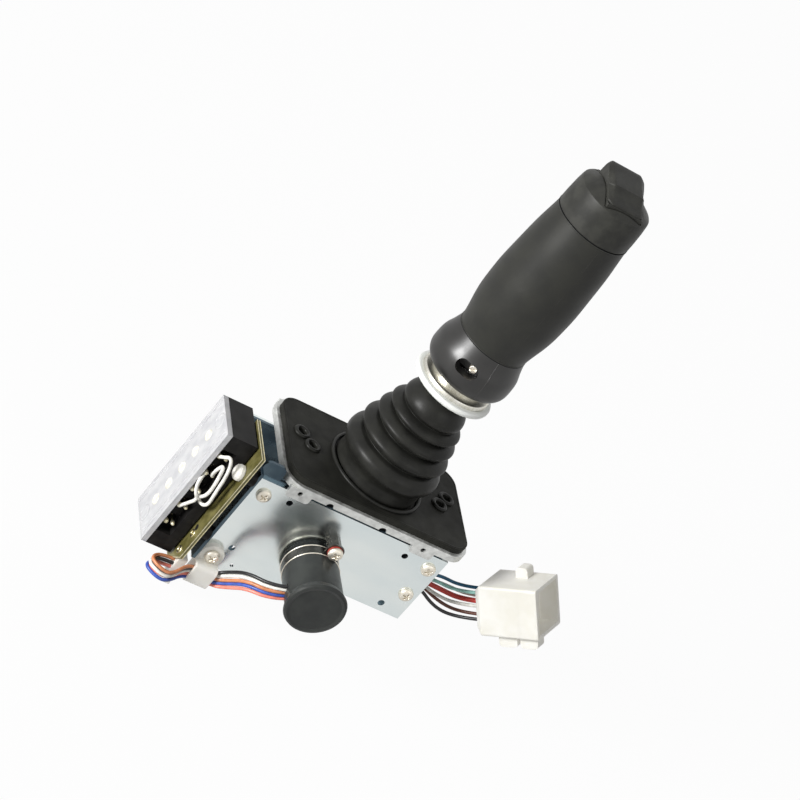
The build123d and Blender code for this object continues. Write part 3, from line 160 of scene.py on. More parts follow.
def bead_line(offset, radius, thick, count=16):
    """The closed profile of a round bead: a circle whose centre is offset along the axis and radius away from it."""
    a = np.linspace(0, 2 * np.pi, count, endpoint=False)
    return np.c_[offset + thick * np.sin(a), radius + thick * np.cos(a)]


# %% [markdown]
# ## The bellows
#
# The boot is moulded rubber with four rolls that get smaller towards the lever. Each roll hangs over the groove under
# it, which is what makes the grooves so dark. A turned profile with overhanging points gives that at once. The wall is
# a second profile, a little inside the first, joined to it at both ends, so the bellows is one closed skin.

# %% Bellows
ROLLS = [(0.4, 20.9), (1.6, 21.5), (4.5, 21.2), (7.2, 21.3), (9.4, 22.6), (11.4, 24.0), (13.6, 24.2), (15.9, 23.5),
         (18.2, 21.2), (18.9, 18.9), (19.7, 19.2), (20.9, 21.2), (23.0, 22.3), (25.0, 21.2), (26.8, 18.6),
         (27.3, 16.6), (28.0, 17.0), (29.2, 19.0), (31.3, 20.1), (33.2, 18.9), (34.7, 16.6), (35.1, 14.9),
         (35.8, 15.4), (36.7, 17.2), (38.2, 18.1), (39.8, 17.0), (40.9, 14.9), (41.3, 13.7), (42.0, 14.2),
         (43.2, 15.1), (44.8, 15.3), (46.6, 14.9), (48.6, 13.9), (50.6, 12.5), (52.0, 11.2), (52.6, 10.3)]
BELLOWS_WALL = 1.4
skin = smooth_line(ROLLS, 260)
lining = np.c_[skin[::-1, 0], skin[::-1, 1] - BELLOWS_WALL]
bellows = turned("boot_bellows", np.vstack([skin, lining]), turns=128, closed=True)
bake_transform(bellows)
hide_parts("bellows")
print("bellows:", len(bellows.data.vertices), "points")

# %% [markdown]
# ## The flange's soft edges
#
# Moulded rubber has no sharp edges. The flange's outline gets a round bead along its upper edge, each mounting hole a
# thick rolled lip, and the bellows a low ring round its foot. The bead is a circle carried along a rounded rectangle.

# %% Flange beads
def rounded_rectangle(half_x, half_y, corner, steps=14):
    """Points round a rectangle with round corners, counted anticlockwise: four quarter circles, one at each corner."""
    a = np.linspace(0, np.pi / 2, steps)
    quarter = np.c_[np.cos(a), np.sin(a)] * corner
    spin = [np.array([[c, s], [-s, c]]) for c, s in ((1, 0), (0, 1), (-1, 0), (0, -1))]
    centre = (half_x - corner, half_y - corner)
    signs = ((1, 1), (-1, 1), (-1, -1), (1, -1))
    return np.vstack([quarter @ m + np.array(centre) * s for m, s in zip(spin, signs)])


def edge_bead(name, half_x, half_y, corner, height, inset, thick, count=12):
    """A round bead along a rounded rectangle: each point moves out and up by a circle of the bead's thickness."""
    inner = rounded_rectangle(half_x - inset, half_y - inset, corner - inset)
    outer = rounded_rectangle(half_x - inset + 1, half_y - inset + 1, corner - inset + 1)
    away = outer - inner
    a = np.linspace(0, 2 * np.pi, count, endpoint=False)
    xy = inner[:, None] + thick * np.cos(a)[None, :, None] * away[:, None]
    z = np.broadcast_to(height + thick * np.sin(a), xy.shape[:2])
    return add_tubes(name, [np.dstack([xy, z])], closed=True, flip=True)


FLANGE_HOLES = ((-39.2, 4.8), (-34.4, -1.8), (34.4, -1.8), (39.2, 4.8))
flange_edge = edge_bead("flange_edge", half_x=47.4, half_y=27.75, corner=9.0, height=-0.72, inset=0.75, thick=0.85)
lip_line = bead_line(offset=0.3, radius=3.1, thick=1.0)
lips = [turned_points(lip_line, 40, (0, 0, 1), (x, y, 0)) for x, y in FLANGE_HOLES]
flange_lips = add_tubes("flange_lips", lips, closed=True)
flange_ring = turned("flange_ring", bead_line(offset=0.55, radius=23.1, thick=0.95), turns=128, closed=True)
for piece in (flange_edge, flange_lips, flange_ring):
    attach(piece, "base")
print("flange beads done")

# %% [markdown]
# ## Screw heads
#
# The frame is held by pan-head screws with a cross recess. The head is a turned dome, and the recess is a dip in it:
# a point goes down where it is close to one arm of the cross and within that arm's length. All the screws are one
# mesh, as they differ only in their place, their length and the way they are turned.

# %% Screws with a cross recess
def smooth_step(x):
    """Rises from 0 to 1 as x does, level at both ends."""
    x = np.clip(x, 0, 1)
    return x * x * (3 - 2 * x)


def cross_dip(a, b, half_width, reach, depth):
    """How deep the recess is at (a, b): depth where either arm of the cross covers the point, soft at its edges."""
    soft_side, soft_end = 0.16, 0.5

    def arm(p, q):
        """One arm of the cross, which runs along q."""
        inside = smooth_step((half_width - np.abs(p)) / soft_side + 0.5)
        return inside * smooth_step((reach - np.abs(q)) / soft_end + 0.5)
    return depth * np.maximum(arm(a, b), arm(b, a))


def screw_points(start, out, length, spin, radius=3.4, height=2.2, shank=1.75, turns=72):
    """A pan head on its shank. The dome's profile is a flattened quarter ellipse, less the dip of the cross."""
    rim = 0.45
    a = np.linspace(0, np.pi / 2, 34)[:-1]
    dome = np.c_[rim + (height - rim) * np.sin(a) ** 0.85, radius * np.cos(a) ** 0.8]
    stem = [(-length, shank * 0.7), (-length + 0.8, shank), (0, shank), (0, radius)]
    line = np.vstack([stem, dome, [(height, 0.05)]])
    points = turned_points(line, turns, out, start)
    out = np.asarray(out, float)
    across = np.cross(out, (0, 0, 1.0))
    upright = np.cross(across, out)
    top = points[len(stem):]
    a, b = (top - np.asarray(start)) @ across, (top - np.asarray(start)) @ upright
    c, s = np.cos(spin), np.sin(spin)
    top -= cross_dip(a * c + b * s, b * c - a * s, half_width=0.42, reach=1.75, depth=1.3)[..., None] * out
    return points


FRONT_Y, REAR_Y = -28.15, 28.15
# Each screw: where its head sits, which way it points, the length of its shank and the turn of its cross.
SCREWS = [((-51.8, FRONT_Y, -16.0), (0, -1, 0), 6, 0.35), ((35.9, FRONT_Y, -15.9), (0, -1, 0), 6, 0.9),
          ((36.0, FRONT_Y, -32.9), (0, -1, 0), 6, 0.2), ((-53.2, -30.75, -54.5), (0, -1, 0), 6, 0.55),
          ((-10.9, -37.25, -22.3), (0, -1, 0), 14, 0.75), ((-51.8, REAR_Y, -24.0), (0, 1, 0), 6, 0.6),
          ((35.9, REAR_Y, -15.9), (0, 1, 0), 6, 0.1), ((36.0, REAR_Y, -32.9), (0, 1, 0), 6, 1.1)]
screws = add_tubes("frame_screw_heads", [screw_points(*screw) for screw in SCREWS])
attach(screws, "base")
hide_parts("frame_screws")
print("screws:", len(SCREWS))

# %% [markdown]
# ## The set screw
#
# Deep in the oval hole of the handle's collar sits a small bright set screw with one straight slot. It is the same
# kind of surface: a flat disc with a soft edge, dipped along one line.

# %% Set screw
azimuth = np.radians(-113.0)
radial = np.array([np.cos(azimuth), np.sin(azimuth), 0.0])
hole_centre = np.array([0, 0, 77.6])
a = np.linspace(0, np.pi / 2, 12)
edge = np.c_[15.6 + 0.5 * np.sin(a), 1.45 + 0.45 * np.cos(a)]
face = np.c_[np.full(18, 16.1), np.linspace(1.4, 0.05, 18)]
set_points = turned_points(np.vstack([[(9.5, 1.9)], edge, face]), 64, radial, hole_centre)
side = np.cross(radial, (0, 0, 1.0))
tilt = np.array([0, 0, 1.0]) * 0.8 + side * 0.6
SLOT_DEPTH, SLOT_HALF_WIDTH, SLOT_SOFT = 0.6, 0.3, 0.15
from_slot = np.abs((set_points[1:] - hole_centre) @ tilt)
set_points[1:] -= SLOT_DEPTH * smooth_step((SLOT_HALF_WIDTH - from_slot) / SLOT_SOFT + 0.5)[..., None] * radial
set_screw = add_tubes("set_screw_head", [set_points])
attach(set_screw, "lever")
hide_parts("handle_set_screw")
print("set screw done")

# %% [markdown]
# ## Wires
#
# A real wire is a fixed length of something springy, so each is one smooth spline drawn by a few given control
# points, and its thickness is the curve's own bevel. A NURBS line of order three keeps the bends soft.
#
# Seven wires leave the grey sleeve through the open side of the frame and spread out into the back of a white
# connector. They hang free, and the table lists each one's real length. The other wires are held at both
# ends: five leads run from the potentiometer's cap through the nylon clip and turn back to the board, and three
# short jumpers loop between the terminals of the contact block.

# %% Wires as splines
def wire(name, points, thickness, sides=5):
    """A round wire: one NURBS spline of order three whose control points are given in metres. Each point's radius
    is the wire's true half thickness and the bevel is one, because Blender adds that radius to the curve's bounds."""
    curve = bpy.data.curves.new(name, "CURVE")
    curve.dimensions = "3D"
    spline = curve.splines.new("NURBS")
    spline.points.add(len(points) - 1)
    spline.points.foreach_set("co", np.c_[np.array(points, float), np.ones(len(points))].ravel())
    spline.points.foreach_set("radius", np.full(len(points), thickness / 2))
    spline.order_u = 3
    spline.use_endpoint_u = True
    spline.resolution_u = 12
    curve.bevel_depth = 1.0
    curve.bevel_resolution = sides
    curve.use_fill_caps = True
    piece = bpy.data.objects.new(name, curve)
    bpy.context.collection.objects.link(piece)
    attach(piece, "base")
    return piece


# Each harness wire: its thickness, its free length and its control points from the sleeve to the connector, in metres.
HARNESS = {
    "teal": (0.0016, 0.0598, [(0.0216, -0.0049, -0.0422), (0.0296, -0.0049, -0.0422), (0.0490, -0.0069, -0.0337),
                              (0.0569, -0.0057, -0.0313), (0.0679, -0.0087, -0.0301), (0.0742, -0.0142, -0.0222)]),
    "aqua": (0.0016, 0.0563, [(0.0216, -0.0070, -0.0422), (0.0296, -0.0070, -0.0422), (0.0490, -0.0091, -0.0337),
                              (0.0529, -0.0106, -0.0315), (0.0639, -0.0136, -0.0303), (0.0702, -0.0191, -0.0224)]),
    "white": (0.0016, 0.0594, [(0.0216, -0.0081, -0.0440), (0.0296, -0.0081, -0.0440), (0.0490, -0.0102, -0.0360),
                               (0.0564, -0.0133, -0.0367), (0.0674, -0.0163, -0.0349), (0.0737, -0.0217, -0.0270)]),
    "black": (0.0016, 0.0640, [(0.0216, -0.0071, -0.0458), (0.0296, -0.0071, -0.0458), (0.0490, -0.0091, -0.0383),
                               (0.0599, -0.0159, -0.0419), (0.0709, -0.0189, -0.0395), (0.0772, -0.0244, -0.0316)]),
    "brown": (0.0016, 0.0667, [(0.0216, -0.0049, -0.0458), (0.0296, -0.0049, -0.0458), (0.0490, -0.0069, -0.0383),
                               (0.0639, -0.0110, -0.0417), (0.0749, -0.0140, -0.0393), (0.0812, -0.0194, -0.0314)]),
    "grey": (0.0016, 0.0667, [(0.0216, -0.0039, -0.0440), (0.0296, -0.0039, -0.0440), (0.0490, -0.0058, -0.0360),
                              (0.0644, -0.0034, -0.0363), (0.0754, -0.0064, -0.0345), (0.0817, -0.0119, -0.0266)]),
    "red": (0.0024, 0.0627, [(0.0216, -0.0060, -0.0440), (0.0296, -0.0060, -0.0440), (0.0490, -0.0080, -0.0360),
                             (0.0604, -0.0083, -0.0365), (0.0714, -0.0113, -0.0347), (0.0777, -0.0168, -0.0268)]),
}
harness = {}
for colour, (thickness, length, points) in HARNESS.items():
    piece = wire("harness_wire_" + colour, points, thickness)
    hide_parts("harness_" + colour)
    harness[colour] = piece
print("drew", len(harness), "harness wires")

# %% [markdown]
# ## Leads and jumpers
#
# The leads lie side by side in the clip, and bend round together in one loop at its left, so their control points
# are nearly the same. In the loop some leads turn widely and some narrowly, so that they nest.

# %% Leads and jumpers
LEAD_THICKNESS = 0.0016
# Each lead's way from the potentiometer's cap through the clip.
RISES = {
    "black": [(-25.0, -49.2, -40.0), (-31.6, -48.8, -42.8), (-40.4, -40.8, -47.7), (-44.1, -33.8, -57.0),
              (-47.9, -33.0, -60.6), (-60.7, -33.9, -62.2)],
    "white": [(-24.3, -49.2, -41.6), (-31.0, -49.0, -44.4), (-39.7, -41.6, -49.2), (-43.3, -34.7, -58.2),
              (-47.3, -33.1, -62.2), (-60.4, -33.3, -63.9)],
    "brown": [(-23.7, -49.2, -43.1), (-30.4, -49.4, -46.0), (-39.0, -42.8, -50.4), (-42.4, -36.2, -59.2),
              (-46.6, -33.6, -63.7), (-60.0, -33.0, -60.5)],
    "blue": [(-23.0, -49.2, -44.7), (-29.7, -49.5, -47.6), (-38.3, -43.2, -52.0), (-41.5, -36.5, -60.6),
             (-45.9, -33.3, -65.6), (-59.6, -33.6, -67.3)],
    "red": [(-22.3, -49.2, -46.3), (-29.1, -49.7, -49.2), (-37.6, -44.0, -53.5), (-40.7, -37.4, -61.8),
            (-45.3, -33.5, -67.3), (-59.3, -32.9, -65.6)],
}
# The half width of each lead's loop and its height.
LOOPS = {"brown": (5.3, -64.2), "black": (4.1, -65.5), "white": (5.2, -66.5), "red": (4.0, -67.7),
         "blue": (5.4, -68.9)}
LOOP_X, LOOP_Y = -73.4, -35.8
leads = {}
for colour, rise in RISES.items():
    reach, z = LOOPS[colour]
    points = rise + [(-68.0, LOOP_Y - reach, z), (LOOP_X, LOOP_Y - reach, z), (LOOP_X - reach, LOOP_Y, z),
                     (LOOP_X, LOOP_Y + reach, z), (-66.2, LOOP_Y + reach, z)]
    leads[colour] = wire("held_lead_" + colour, np.array(points) * MM, LEAD_THICKNESS)
    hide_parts("lead_" + colour)

JUMPERS = [
    [(-79.6, -26.6, -8.5), (-79.8, -29.6, -6.2), (-77.3, -32.5, -2.2), (-74.4, -33.2, -10.1), (-73.0, -33.0, -22.0),
     (-71.6, -32.4, -30.6), (-75.0, -30.0, -32.0), (-76.4, -26.6, -29.3)],
    [(-76.2, -26.6, -18.9), (-78.4, -30.0, -13.5), (-77.6, -32.0, -7.4), (-75.8, -32.4, -15.8), (-74.4, -31.6, -26.2),
     (-77.6, -30.2, -29.8), (-80.6, -28.8, -24.6), (-79.6, -26.6, -19.1)],
    [(-79.6, -26.6, -20.2), (-81.4, -29.6, -22.0), (-79.6, -31.0, -27.2), (-76.6, -31.0, -30.0), (-78.6, -30.0, -34.6),
     (-79.0, -26.6, -40.0)],
]
jumpers = [wire("jumper_wire_%d" % k, np.array(points) * MM, LEAD_THICKNESS) for k, points in enumerate(JUMPERS)]
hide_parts("jumper_wires")
print("drew", len(leads), "leads and", len(jumpers), "jumpers")

# %% [markdown]
# ## Small fittings on the board
#
# The board carries two brass eyelets near its lower end, and its edge shows the two pale copper faces with the darker
# core between them. The clear cover of the contact block has a round boss near each end, a shallow well over each
# contact and three long ribs. Each is a small profile, carried round an axis or along the board's outline. A rib is a
# slender spindle that lies half in the cover.

# %% Board fittings
BOARD_FACE_X, COVER_FACE_X, COVER_MIDDLE_Y = -67.8, -83.75, -14.95
CONTACT_LEVELS = (-8.5, -18.9, -29.3, -39.7, -50.1)
eyelet_line = [(-0.1, 0.95), (-0.1, 1.9), (0.25, 2.0), (0.5, 1.75), (0.55, 1.35), (0.35, 1.0)]
eyelets = [turned_points(smooth_line(eyelet_line + eyelet_line[:1], 25)[:-1], 40, (-1, 0, 0), (BOARD_FACE_X, y, z))
           for y, z in ((-31.1, -47.1), (-31.4, -57.6))]
board_eyelets = add_tubes("board_eyelets", eyelets, closed=True)

outline = np.array([(-36.0, 5.5), (-9.4, 5.5), (-9.4, -67.0), (-27.4, -67.0), (-36.0, -58.4)])


def board_edge(name, x0, x1, deep=0.3, proud=0.06):
    """A thin strip along the board's outline: a rectangle from x0 to x1, partly in the edge and partly proud of it."""
    away = np.sign(outline - outline.mean(axis=0))
    corners = [(x0, -deep), (x1, -deep), (x1, proud), (x0, proud)]
    strip = np.array([[(x, *(outline[k] + away[k] * d)) for x, d in corners] for k in range(len(outline))])
    return add_tubes(name, [strip], closed=True, flip=True, smooth=False)


edge_strips = [board_edge("board_edge_outer", -67.85, -67.5), board_edge("board_edge_inner", -66.5, -66.15)]
WELL_SHARE, RIB_HALF_LENGTH, RIB_RADIUS = 0.72, 33.0, 0.38
boss_line = smooth_line([(-0.2, 0.02), (0.0, 3.6), (0.35, 3.5), (0.5, 3.1), (0.3, 2.6), (0.25, 0.02)], 30)
bosses = [turned_points(boss_line, 48, (-1, 0, 0), (COVER_FACE_X, COVER_MIDDLE_Y, z)) for z in (0.4, -59.0)]
wells = [turned_points(boss_line * (1, WELL_SHARE), 48, (-1, 0, 0), (COVER_FACE_X + 0.05, COVER_MIDDLE_Y, z))
         for z in CONTACT_LEVELS]
t = np.linspace(0, np.pi, 30)
rib_line = np.c_[RIB_HALF_LENGTH * (1 - np.cos(t)), 0.02 + RIB_RADIUS * np.sin(t) ** 0.25]
ribs = [turned_points(rib_line, 48, (0, 0, 1), (COVER_FACE_X, y, -62.4)) for y in (-25.4, -23.2, -4.6)]
cover_bosses = add_tubes("cover_bosses", bosses + ribs)
cover_wells = add_tubes("cover_wells", wells)
for piece, slot in ((board_eyelets, "contact_metal"), (cover_bosses, "clear_cover"), (cover_wells, "clear_cover"),
                    (edge_strips[0], "contact_metal"), (edge_strips[1], "contact_metal")):
    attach(piece, "base")
print("board fittings done")

# %% [markdown]
# ## Solder and the nut
#
# The block's terminals end in shiny lumps of solder, and a white nylon nut with ten soft flats holds the board on its
# spacer. A lump is a small turned drop. The nut is the same kind of shape with so few steps round that its flats show.

# %% Solder drops and the nylon nut
drop = smooth_line([(-2.6, 0.5), (-1.6, 0.75), (-0.2, 1.0), (0.8, 0.85), (1.3, 0.45), (1.45, 0.05)], 16)
drops = [turned_points(drop * (1, size), 20, (0.0, -1.0, 0.12), (x, -26.2, z))
         for z in CONTACT_LEVELS for x, size in ((-79.4, 1.2), (-76.0, 1.0))]
solder_drops = add_tubes("solder_drops", drops)
nut_line = [(0, 3.3), (0.5, 3.8), (1.9, 3.9), (3.0, 3.4), (3.7, 2.3), (3.9, 1.2), (3.5, 0.9), (3.4, 0.05)]
nylon_nut = turned("nylon_nut", nut_line, 10, (-1, 0, 0), (BOARD_FACE_X, -30.4, -9.0))
nylon_nut.data.shade_flat()
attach(solder_drops, "base")
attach(nylon_nut, "base")
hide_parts("spacer_nut")
print("drops:", len(drops))

# %% [markdown]
# ## Dark openings
#
# Through the bare holes of the front plate and the notches under the mounting plate one looks into the unlit frame.
# Thin dark plugs a little inside the sheet are painted shade for that unlit depth.

# %% Plugs behind the holes
def plug(x, y, z, radius, lower=1.0, thick=0.1, steps=28):
    """A thin round plate facing the front: two rims round (x, z), their lower half flattened by a factor."""
    a = np.linspace(0, 2 * np.pi, steps, endpoint=False)
    lift = np.sin(a) * np.where(np.sin(a) < 0, lower, 1.0)
    rim = np.c_[x + radius * np.cos(a), np.full(steps, y), z + radius * lift]
    return np.stack([rim, rim + (0, thick, 0)])


# The plugs are painted shade: near-black discs where the frame's inside lies in shade.
HOLE_PLUG_Y, NOTCH_PLUG_Y = -26.95, -28.5
plugs = [plug(x, HOLE_PLUG_Y, z, 1.45) for x, z in ((-39.5, -14.3), (22.2, -14.6))]
plugs += [plug(x, NOTCH_PLUG_Y, -6.6, 2.1, lower=0.4) for x in (-24.0, 4.0)]
painted_shade_plugs = add_tubes("painted_shade_plugs", plugs, flip=True, smooth=False)
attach(painted_shade_plugs, "base")
print("plugs:", len(plugs))

# %% [markdown]
# ## The clamp band's edges
#
# The steel band round the potentiometer is dark, and its two rolled edges show as thin bright lines: round beads
# that catch real light, in a paler steel than the band that adds a painted highlight.

# %% Band edges
POT_X, POT_Z = -12.7, -38.5
edge_line = bead_line(offset=0, radius=12.75, thick=0.3, count=10)
band_edge_rings = [turned_points(edge_line, 128, (0, -1, 0), (POT_X, y, POT_Z)) for y in (-36.3, -31.1)]
band_edge_highlights = add_tubes("band_edge_highlights", band_edge_rings, closed=True)
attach(band_edge_highlights, "base")
print("band edges done")

# %% [markdown]
# ## The lock ring
#
# The ring that is lifted to unlock the lever is turned from one bar: a broad white-looking disc with round edges, and
# on it a narrower step with fine bright turning marks. Under the collar a slim hub leads up to the spring. The spring
# is a copy of the solid's mesh.

# %% Lock ring
disc_line = [(56.4, 5.3), (56.4, 17.4), (56.65, 18.5), (57.2, 19.2), (58.0, 19.5), (58.8, 19.48), (59.5, 19.1),
             (59.8, 18.4), (59.85, 17.4), (59.85, 5.3)]
step_line = [(59.8, 16.9), (60.0, 17.2), (61.4, 17.1), (61.8, 16.8), (61.95, 16.3), (61.95, 13.0), (66.0, 13.0),
             (66.0, 5.3), (59.8, 5.3)]
ring_disc = turned("lock_ring_disc", disc_line, turns=160, closed=True)
ring_step = turned("lock_ring_step", step_line, turns=160, closed=True)
for piece in (ring_disc, ring_step):
    piece.data.set_sharp_from_angle(angle=0.7)
    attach(piece, "lock_ring")
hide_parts("lock_ring")

spring_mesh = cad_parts["ring_spring"].data.copy()
spring = bpy.data.objects.new("ring_spring_coil", spring_mesh)
bpy.context.collection.objects.link(spring)
heights = np.empty(len(spring_mesh.vertices) * 3)
spring_mesh.vertices.foreach_get("co", heights)
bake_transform(spring)
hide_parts("ring_spring")

# %% [markdown]
# ## The head
#
# The head's side is straight up to a clear rim. From there the top slopes like a low cone, and a pocket for the
# rocker is cut into it. The cone is turned, and the pocket is taken away with a boolean, because its flat walls would
# be ragged on a round grid.

# %% Head
head_line = [(157.8, 17.75), (158.2, 17.95), (162, 17.95), (168, 17.7), (172.0, 17.3), (172.9, 17.1), (173.35, 16.7),
             (175.2, 13.6), (177.0, 10.2), (177.7, 8.0), (177.9, 0.05)]
head = turned("head_shell", [(157.8, 0.05)] + head_line, turns=144)
POCKET_HALF_X, POCKET_FLOOR, POCKET_TOP = 9.7, 173.4, 181.4
pocket_points = [(x, y, z) for z in (POCKET_FLOOR, POCKET_TOP) for y in (-14.1, 12.3)
                 for x in (-POCKET_HALF_X, POCKET_HALF_X)]
pocket_faces = [(0, 2, 3, 1), (4, 5, 7, 6), (0, 1, 5, 4), (2, 6, 7, 3), (0, 4, 6, 2), (1, 3, 7, 5)]
pocket = add_piece("pocket", pocket_points, pocket_faces, smooth=False)
cut = head.modifiers.new("pocket", "BOOLEAN")
cut.operation, cut.solver, cut.object = "DIFFERENCE", "EXACT", pocket
shape = bpy.data.meshes.new_from_object(head.evaluated_get(bpy.context.evaluated_depsgraph_get()))
head.modifiers.clear()
head.data = shape
bpy.data.objects.remove(pocket)
head.data.shade_smooth()
head.data.set_sharp_from_angle(angle=0.45)
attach(head, "lever")
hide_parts("head_cap")
print("head:", len(head.data.vertices), "points")

# %% [markdown]
# ## The rocker
#
# The thumb rocker is a low saddle with soft edges, made as one surface. Its side view is a closed outline, and that
# outline is carried across the key. Near both ends it shrinks towards its middle, which bevels the end faces. A hub
# lies round the rocker's pin. A thin skirt closes the gap to the head.

# %% Rocker and its skirt
# The key's side view as (y, height) points from its front foot over the ridge to its rear foot.
KEY_SIDE = [(-13.3, 175.2), (-13.4, 175.8), (-12.9, 176.4), (-9.2, 177.8), (-5.7, 179.6), (-4.8, 180.4), (-3.9, 180.7),
            (3.0, 181.95), (8.0, 182.95), (9.7, 182.7), (10.6, 181.6), (11.1, 178.6), (11.3, 175.2)]
KEY_HALF, KEY_FOOT, BEVEL = 9.3, 175.2, 2.2
side_line = smooth_line(KEY_SIDE, 110)
under = np.c_[np.linspace(KEY_SIDE[-1][0], KEY_SIDE[0][0], 24)[1:-1], np.full(22, KEY_FOOT)]
ring_yz = np.vstack([side_line, under])
steps = BEVEL * np.linspace(0, 1, 10)
level_part = np.linspace(-KEY_HALF + BEVEL, KEY_HALF - BEVEL, 24)
across = np.unique(np.r_[-KEY_HALF + steps, level_part, KEY_HALF - steps].round(5))
near_end = np.clip((np.abs(across) - (KEY_HALF - BEVEL)) / BEVEL, 0, 1)
shrink = 2.3 * near_end ** 1.35
towards = np.array([-1.0, 177.4]) - ring_yz
towards /= np.linalg.norm(towards, axis=1)[:, None]
yz = ring_yz[None] + shrink[:, None, None] * towards[None]
yz[..., 1] = np.maximum(yz[..., 1], KEY_FOOT)
x = np.broadcast_to(across[:, None, None], (*yz.shape[:2], 1))
rocker_key = add_tubes("rocker_key", [np.concatenate([x, yz], axis=-1)], flip=True)
hub = [(-KEY_HALF, 1.5), (-KEY_HALF, 3.4), (KEY_HALF, 3.4), (KEY_HALF, 1.5)]
rocker_hub = turned("rocker_hub", hub, 48, (1, 0, 0), (0, -1, 171), closed=True)
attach(rocker_key, "rocker")
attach(rocker_hub, "rocker")
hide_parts("rocker")

SKIRT_MIDDLE_Y = -1.05
skirt_line = rounded_rectangle(9.25, 12.3, 0.5, 6) + (0, SKIRT_MIDDLE_Y)
levels = (173.2, 173.7, 174.2, 174.6, 175.0, 175.4)
outer = np.array([[(*p, z) for p in skirt_line] for z in levels])
inner = outer[::-1].copy()
inner[..., 0] *= 0.93
inner[..., 1] = SKIRT_MIDDLE_Y + (inner[..., 1] - SKIRT_MIDDLE_Y) * 0.95
rocker_skirt = add_tubes("rocker_skirt", [np.vstack([outer, inner])], closed=True)
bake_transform(rocker_skirt)
rocker_key.data.set_sharp_from_angle(angle=0.6)
print("rocker:", len(rocker_key.data.vertices), "points")

# %% [markdown]
# ## Mould lines
#
# Two halves meet along the handle's collar, and a soft parting line runs up the grip. Each is a very thin ridge that
# follows the profile of the piece that it lies on. The grip's two ends are rolled, so a round bead closes each. A thin
# dark ring in each seam is painted shade: it darkens the gap between the grip and the piece next to it.

# %% Mould lines
def ridge(name, line, azimuth, thick, proud):
    """A thin round ridge along a profile of (height, radius) at one azimuth, standing proud of it by a little."""
    line = smooth_line(line, 60)
    c, s = np.cos(np.radians(azimuth)), np.sin(np.radians(azimuth))
    out, side = np.array([c, s, 0]), np.array([-s, c, 0])
    a = np.linspace(0, 2 * np.pi, 8, endpoint=False)
    radius = line[:, 1, None] + proud - thick + thick * np.cos(a)[None]
    points = radius[..., None] * out + (thick * np.sin(a))[None, :, None] * side
    return add_tubes(name, [points + line[:, 0, None, None] * np.array([0, 0, 1.0])])


collar_line = [(65.7, 17.0), (67, 18.9), (69.4, 20.2), (73.4, 20.5), (78.2, 20), (81.6, 18.8), (85, 17.8), (87.2, 17.2)]
grip_line = [(87.6, 17.1), (92, 17.7), (97, 18.7), (104.5, 19.9), (111, 20.3), (118, 20.5), (129, 20.1), (144.5, 19.2),
             (151, 18.5), (157.5, 17.8)]
collar_ridges = [ridge("collar_line_front", collar_line, -90, thick=0.3, proud=0.18),
                 ridge("collar_line_rear", collar_line, 90, thick=0.3, proud=0.18)]
grip_ridges = [ridge("grip_line_front", grip_line, -90, thick=0.14, proud=0.04),
               ridge("grip_line_rear", grip_line, 90, thick=0.14, proud=0.04)]
grip_ridges += [turned("grip_end_low", bead_line(87.75, 16.95, 0.4, 12), 128, closed=True),
                turned("grip_end_high", bead_line(157.35, 17.7, 0.35, 12), 128, closed=True)]
# Painted shade: a thin near-black ring in the seam at each end of the grip.
painted_seam_shade = [turned("collar_seam_shade", bead_line(87.4, 17.08, 0.22, 10), 128, closed=True),
              turned("head_seam_shade", bead_line(157.72, 17.85, 0.2, 10), 128, closed=True)]
for piece in painted_seam_shade:
    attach(piece, "lever")
for piece in collar_ridges:
    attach(piece, "lever")
for piece in grip_ridges:
    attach(piece, "lever")
print("mould lines done")

# %% [markdown]
# ## Floor, light and background
#
# The object was photographed on white. The floor is a matt white sheet under the lowest solid. To the camera it shows
# almost only its own light, and to shiny surfaces more than half, so it reads as white paper under a faint shadow. The
# room is as white to the camera and in reflections, but lights the object only dimly. A strong soft lamp stands at the
# left and a weak one in front, at a plain level, where a colour comes out about as it is written.

# %% Stage
FLOOR_HALF, FLOOR_HEIGHT = 6000, -77.5
PAPER_GREY, GLOW_TO_CAMERA, GLOW_TO_SHINE = 0.8, 0.965, 0.6
ROOM_LIGHT, ROOM_IN_SHINE = 0.14, 0.97
floor_corners = [(x * FLOOR_HALF, y * FLOOR_HALF, FLOOR_HEIGHT) for x, y in ((-1, -1), (1, -1), (1, 1), (-1, 1))]
floor = add_piece("floor", floor_corners, [(0, 1, 2, 3)], smooth=False)
paper = bpy.data.materials.new("white_paper")
paper.use_nodes = True
tree = paper.node_tree
matt = tree.nodes["Principled BSDF"]
matt.inputs["Base Color"].default_value = (PAPER_GREY, PAPER_GREY, PAPER_GREY, 1)
matt.inputs["Roughness"].default_value = 0.9
glow = tree.nodes.new("ShaderNodeEmission")
blend = tree.nodes.new("ShaderNodeMixShader")
ray = tree.nodes.new("ShaderNodeLightPath")
seen = tree.nodes.new("ShaderNodeMath")
seen.operation = "MULTIPLY"
seen.inputs[1].default_value = GLOW_TO_CAMERA
share = tree.nodes.new("ShaderNodeMath")
share.operation = "MULTIPLY_ADD"
share.inputs[1].default_value = GLOW_TO_SHINE
tree.links.new(ray.outputs["Is Camera Ray"], seen.inputs[0])
tree.links.new(ray.outputs["Is Glossy Ray"], share.inputs[0])
tree.links.new(seen.outputs[0], share.inputs[2])
tree.links.new(share.outputs[0], blend.inputs["Fac"])
tree.links.new(matt.outputs[0], blend.inputs[1])
tree.links.new(glow.outputs[0], blend.inputs[2])
tree.links.new(blend.outputs[0], tree.nodes["Material Output"].inputs["Surface"])
floor.data.materials.append(paper)

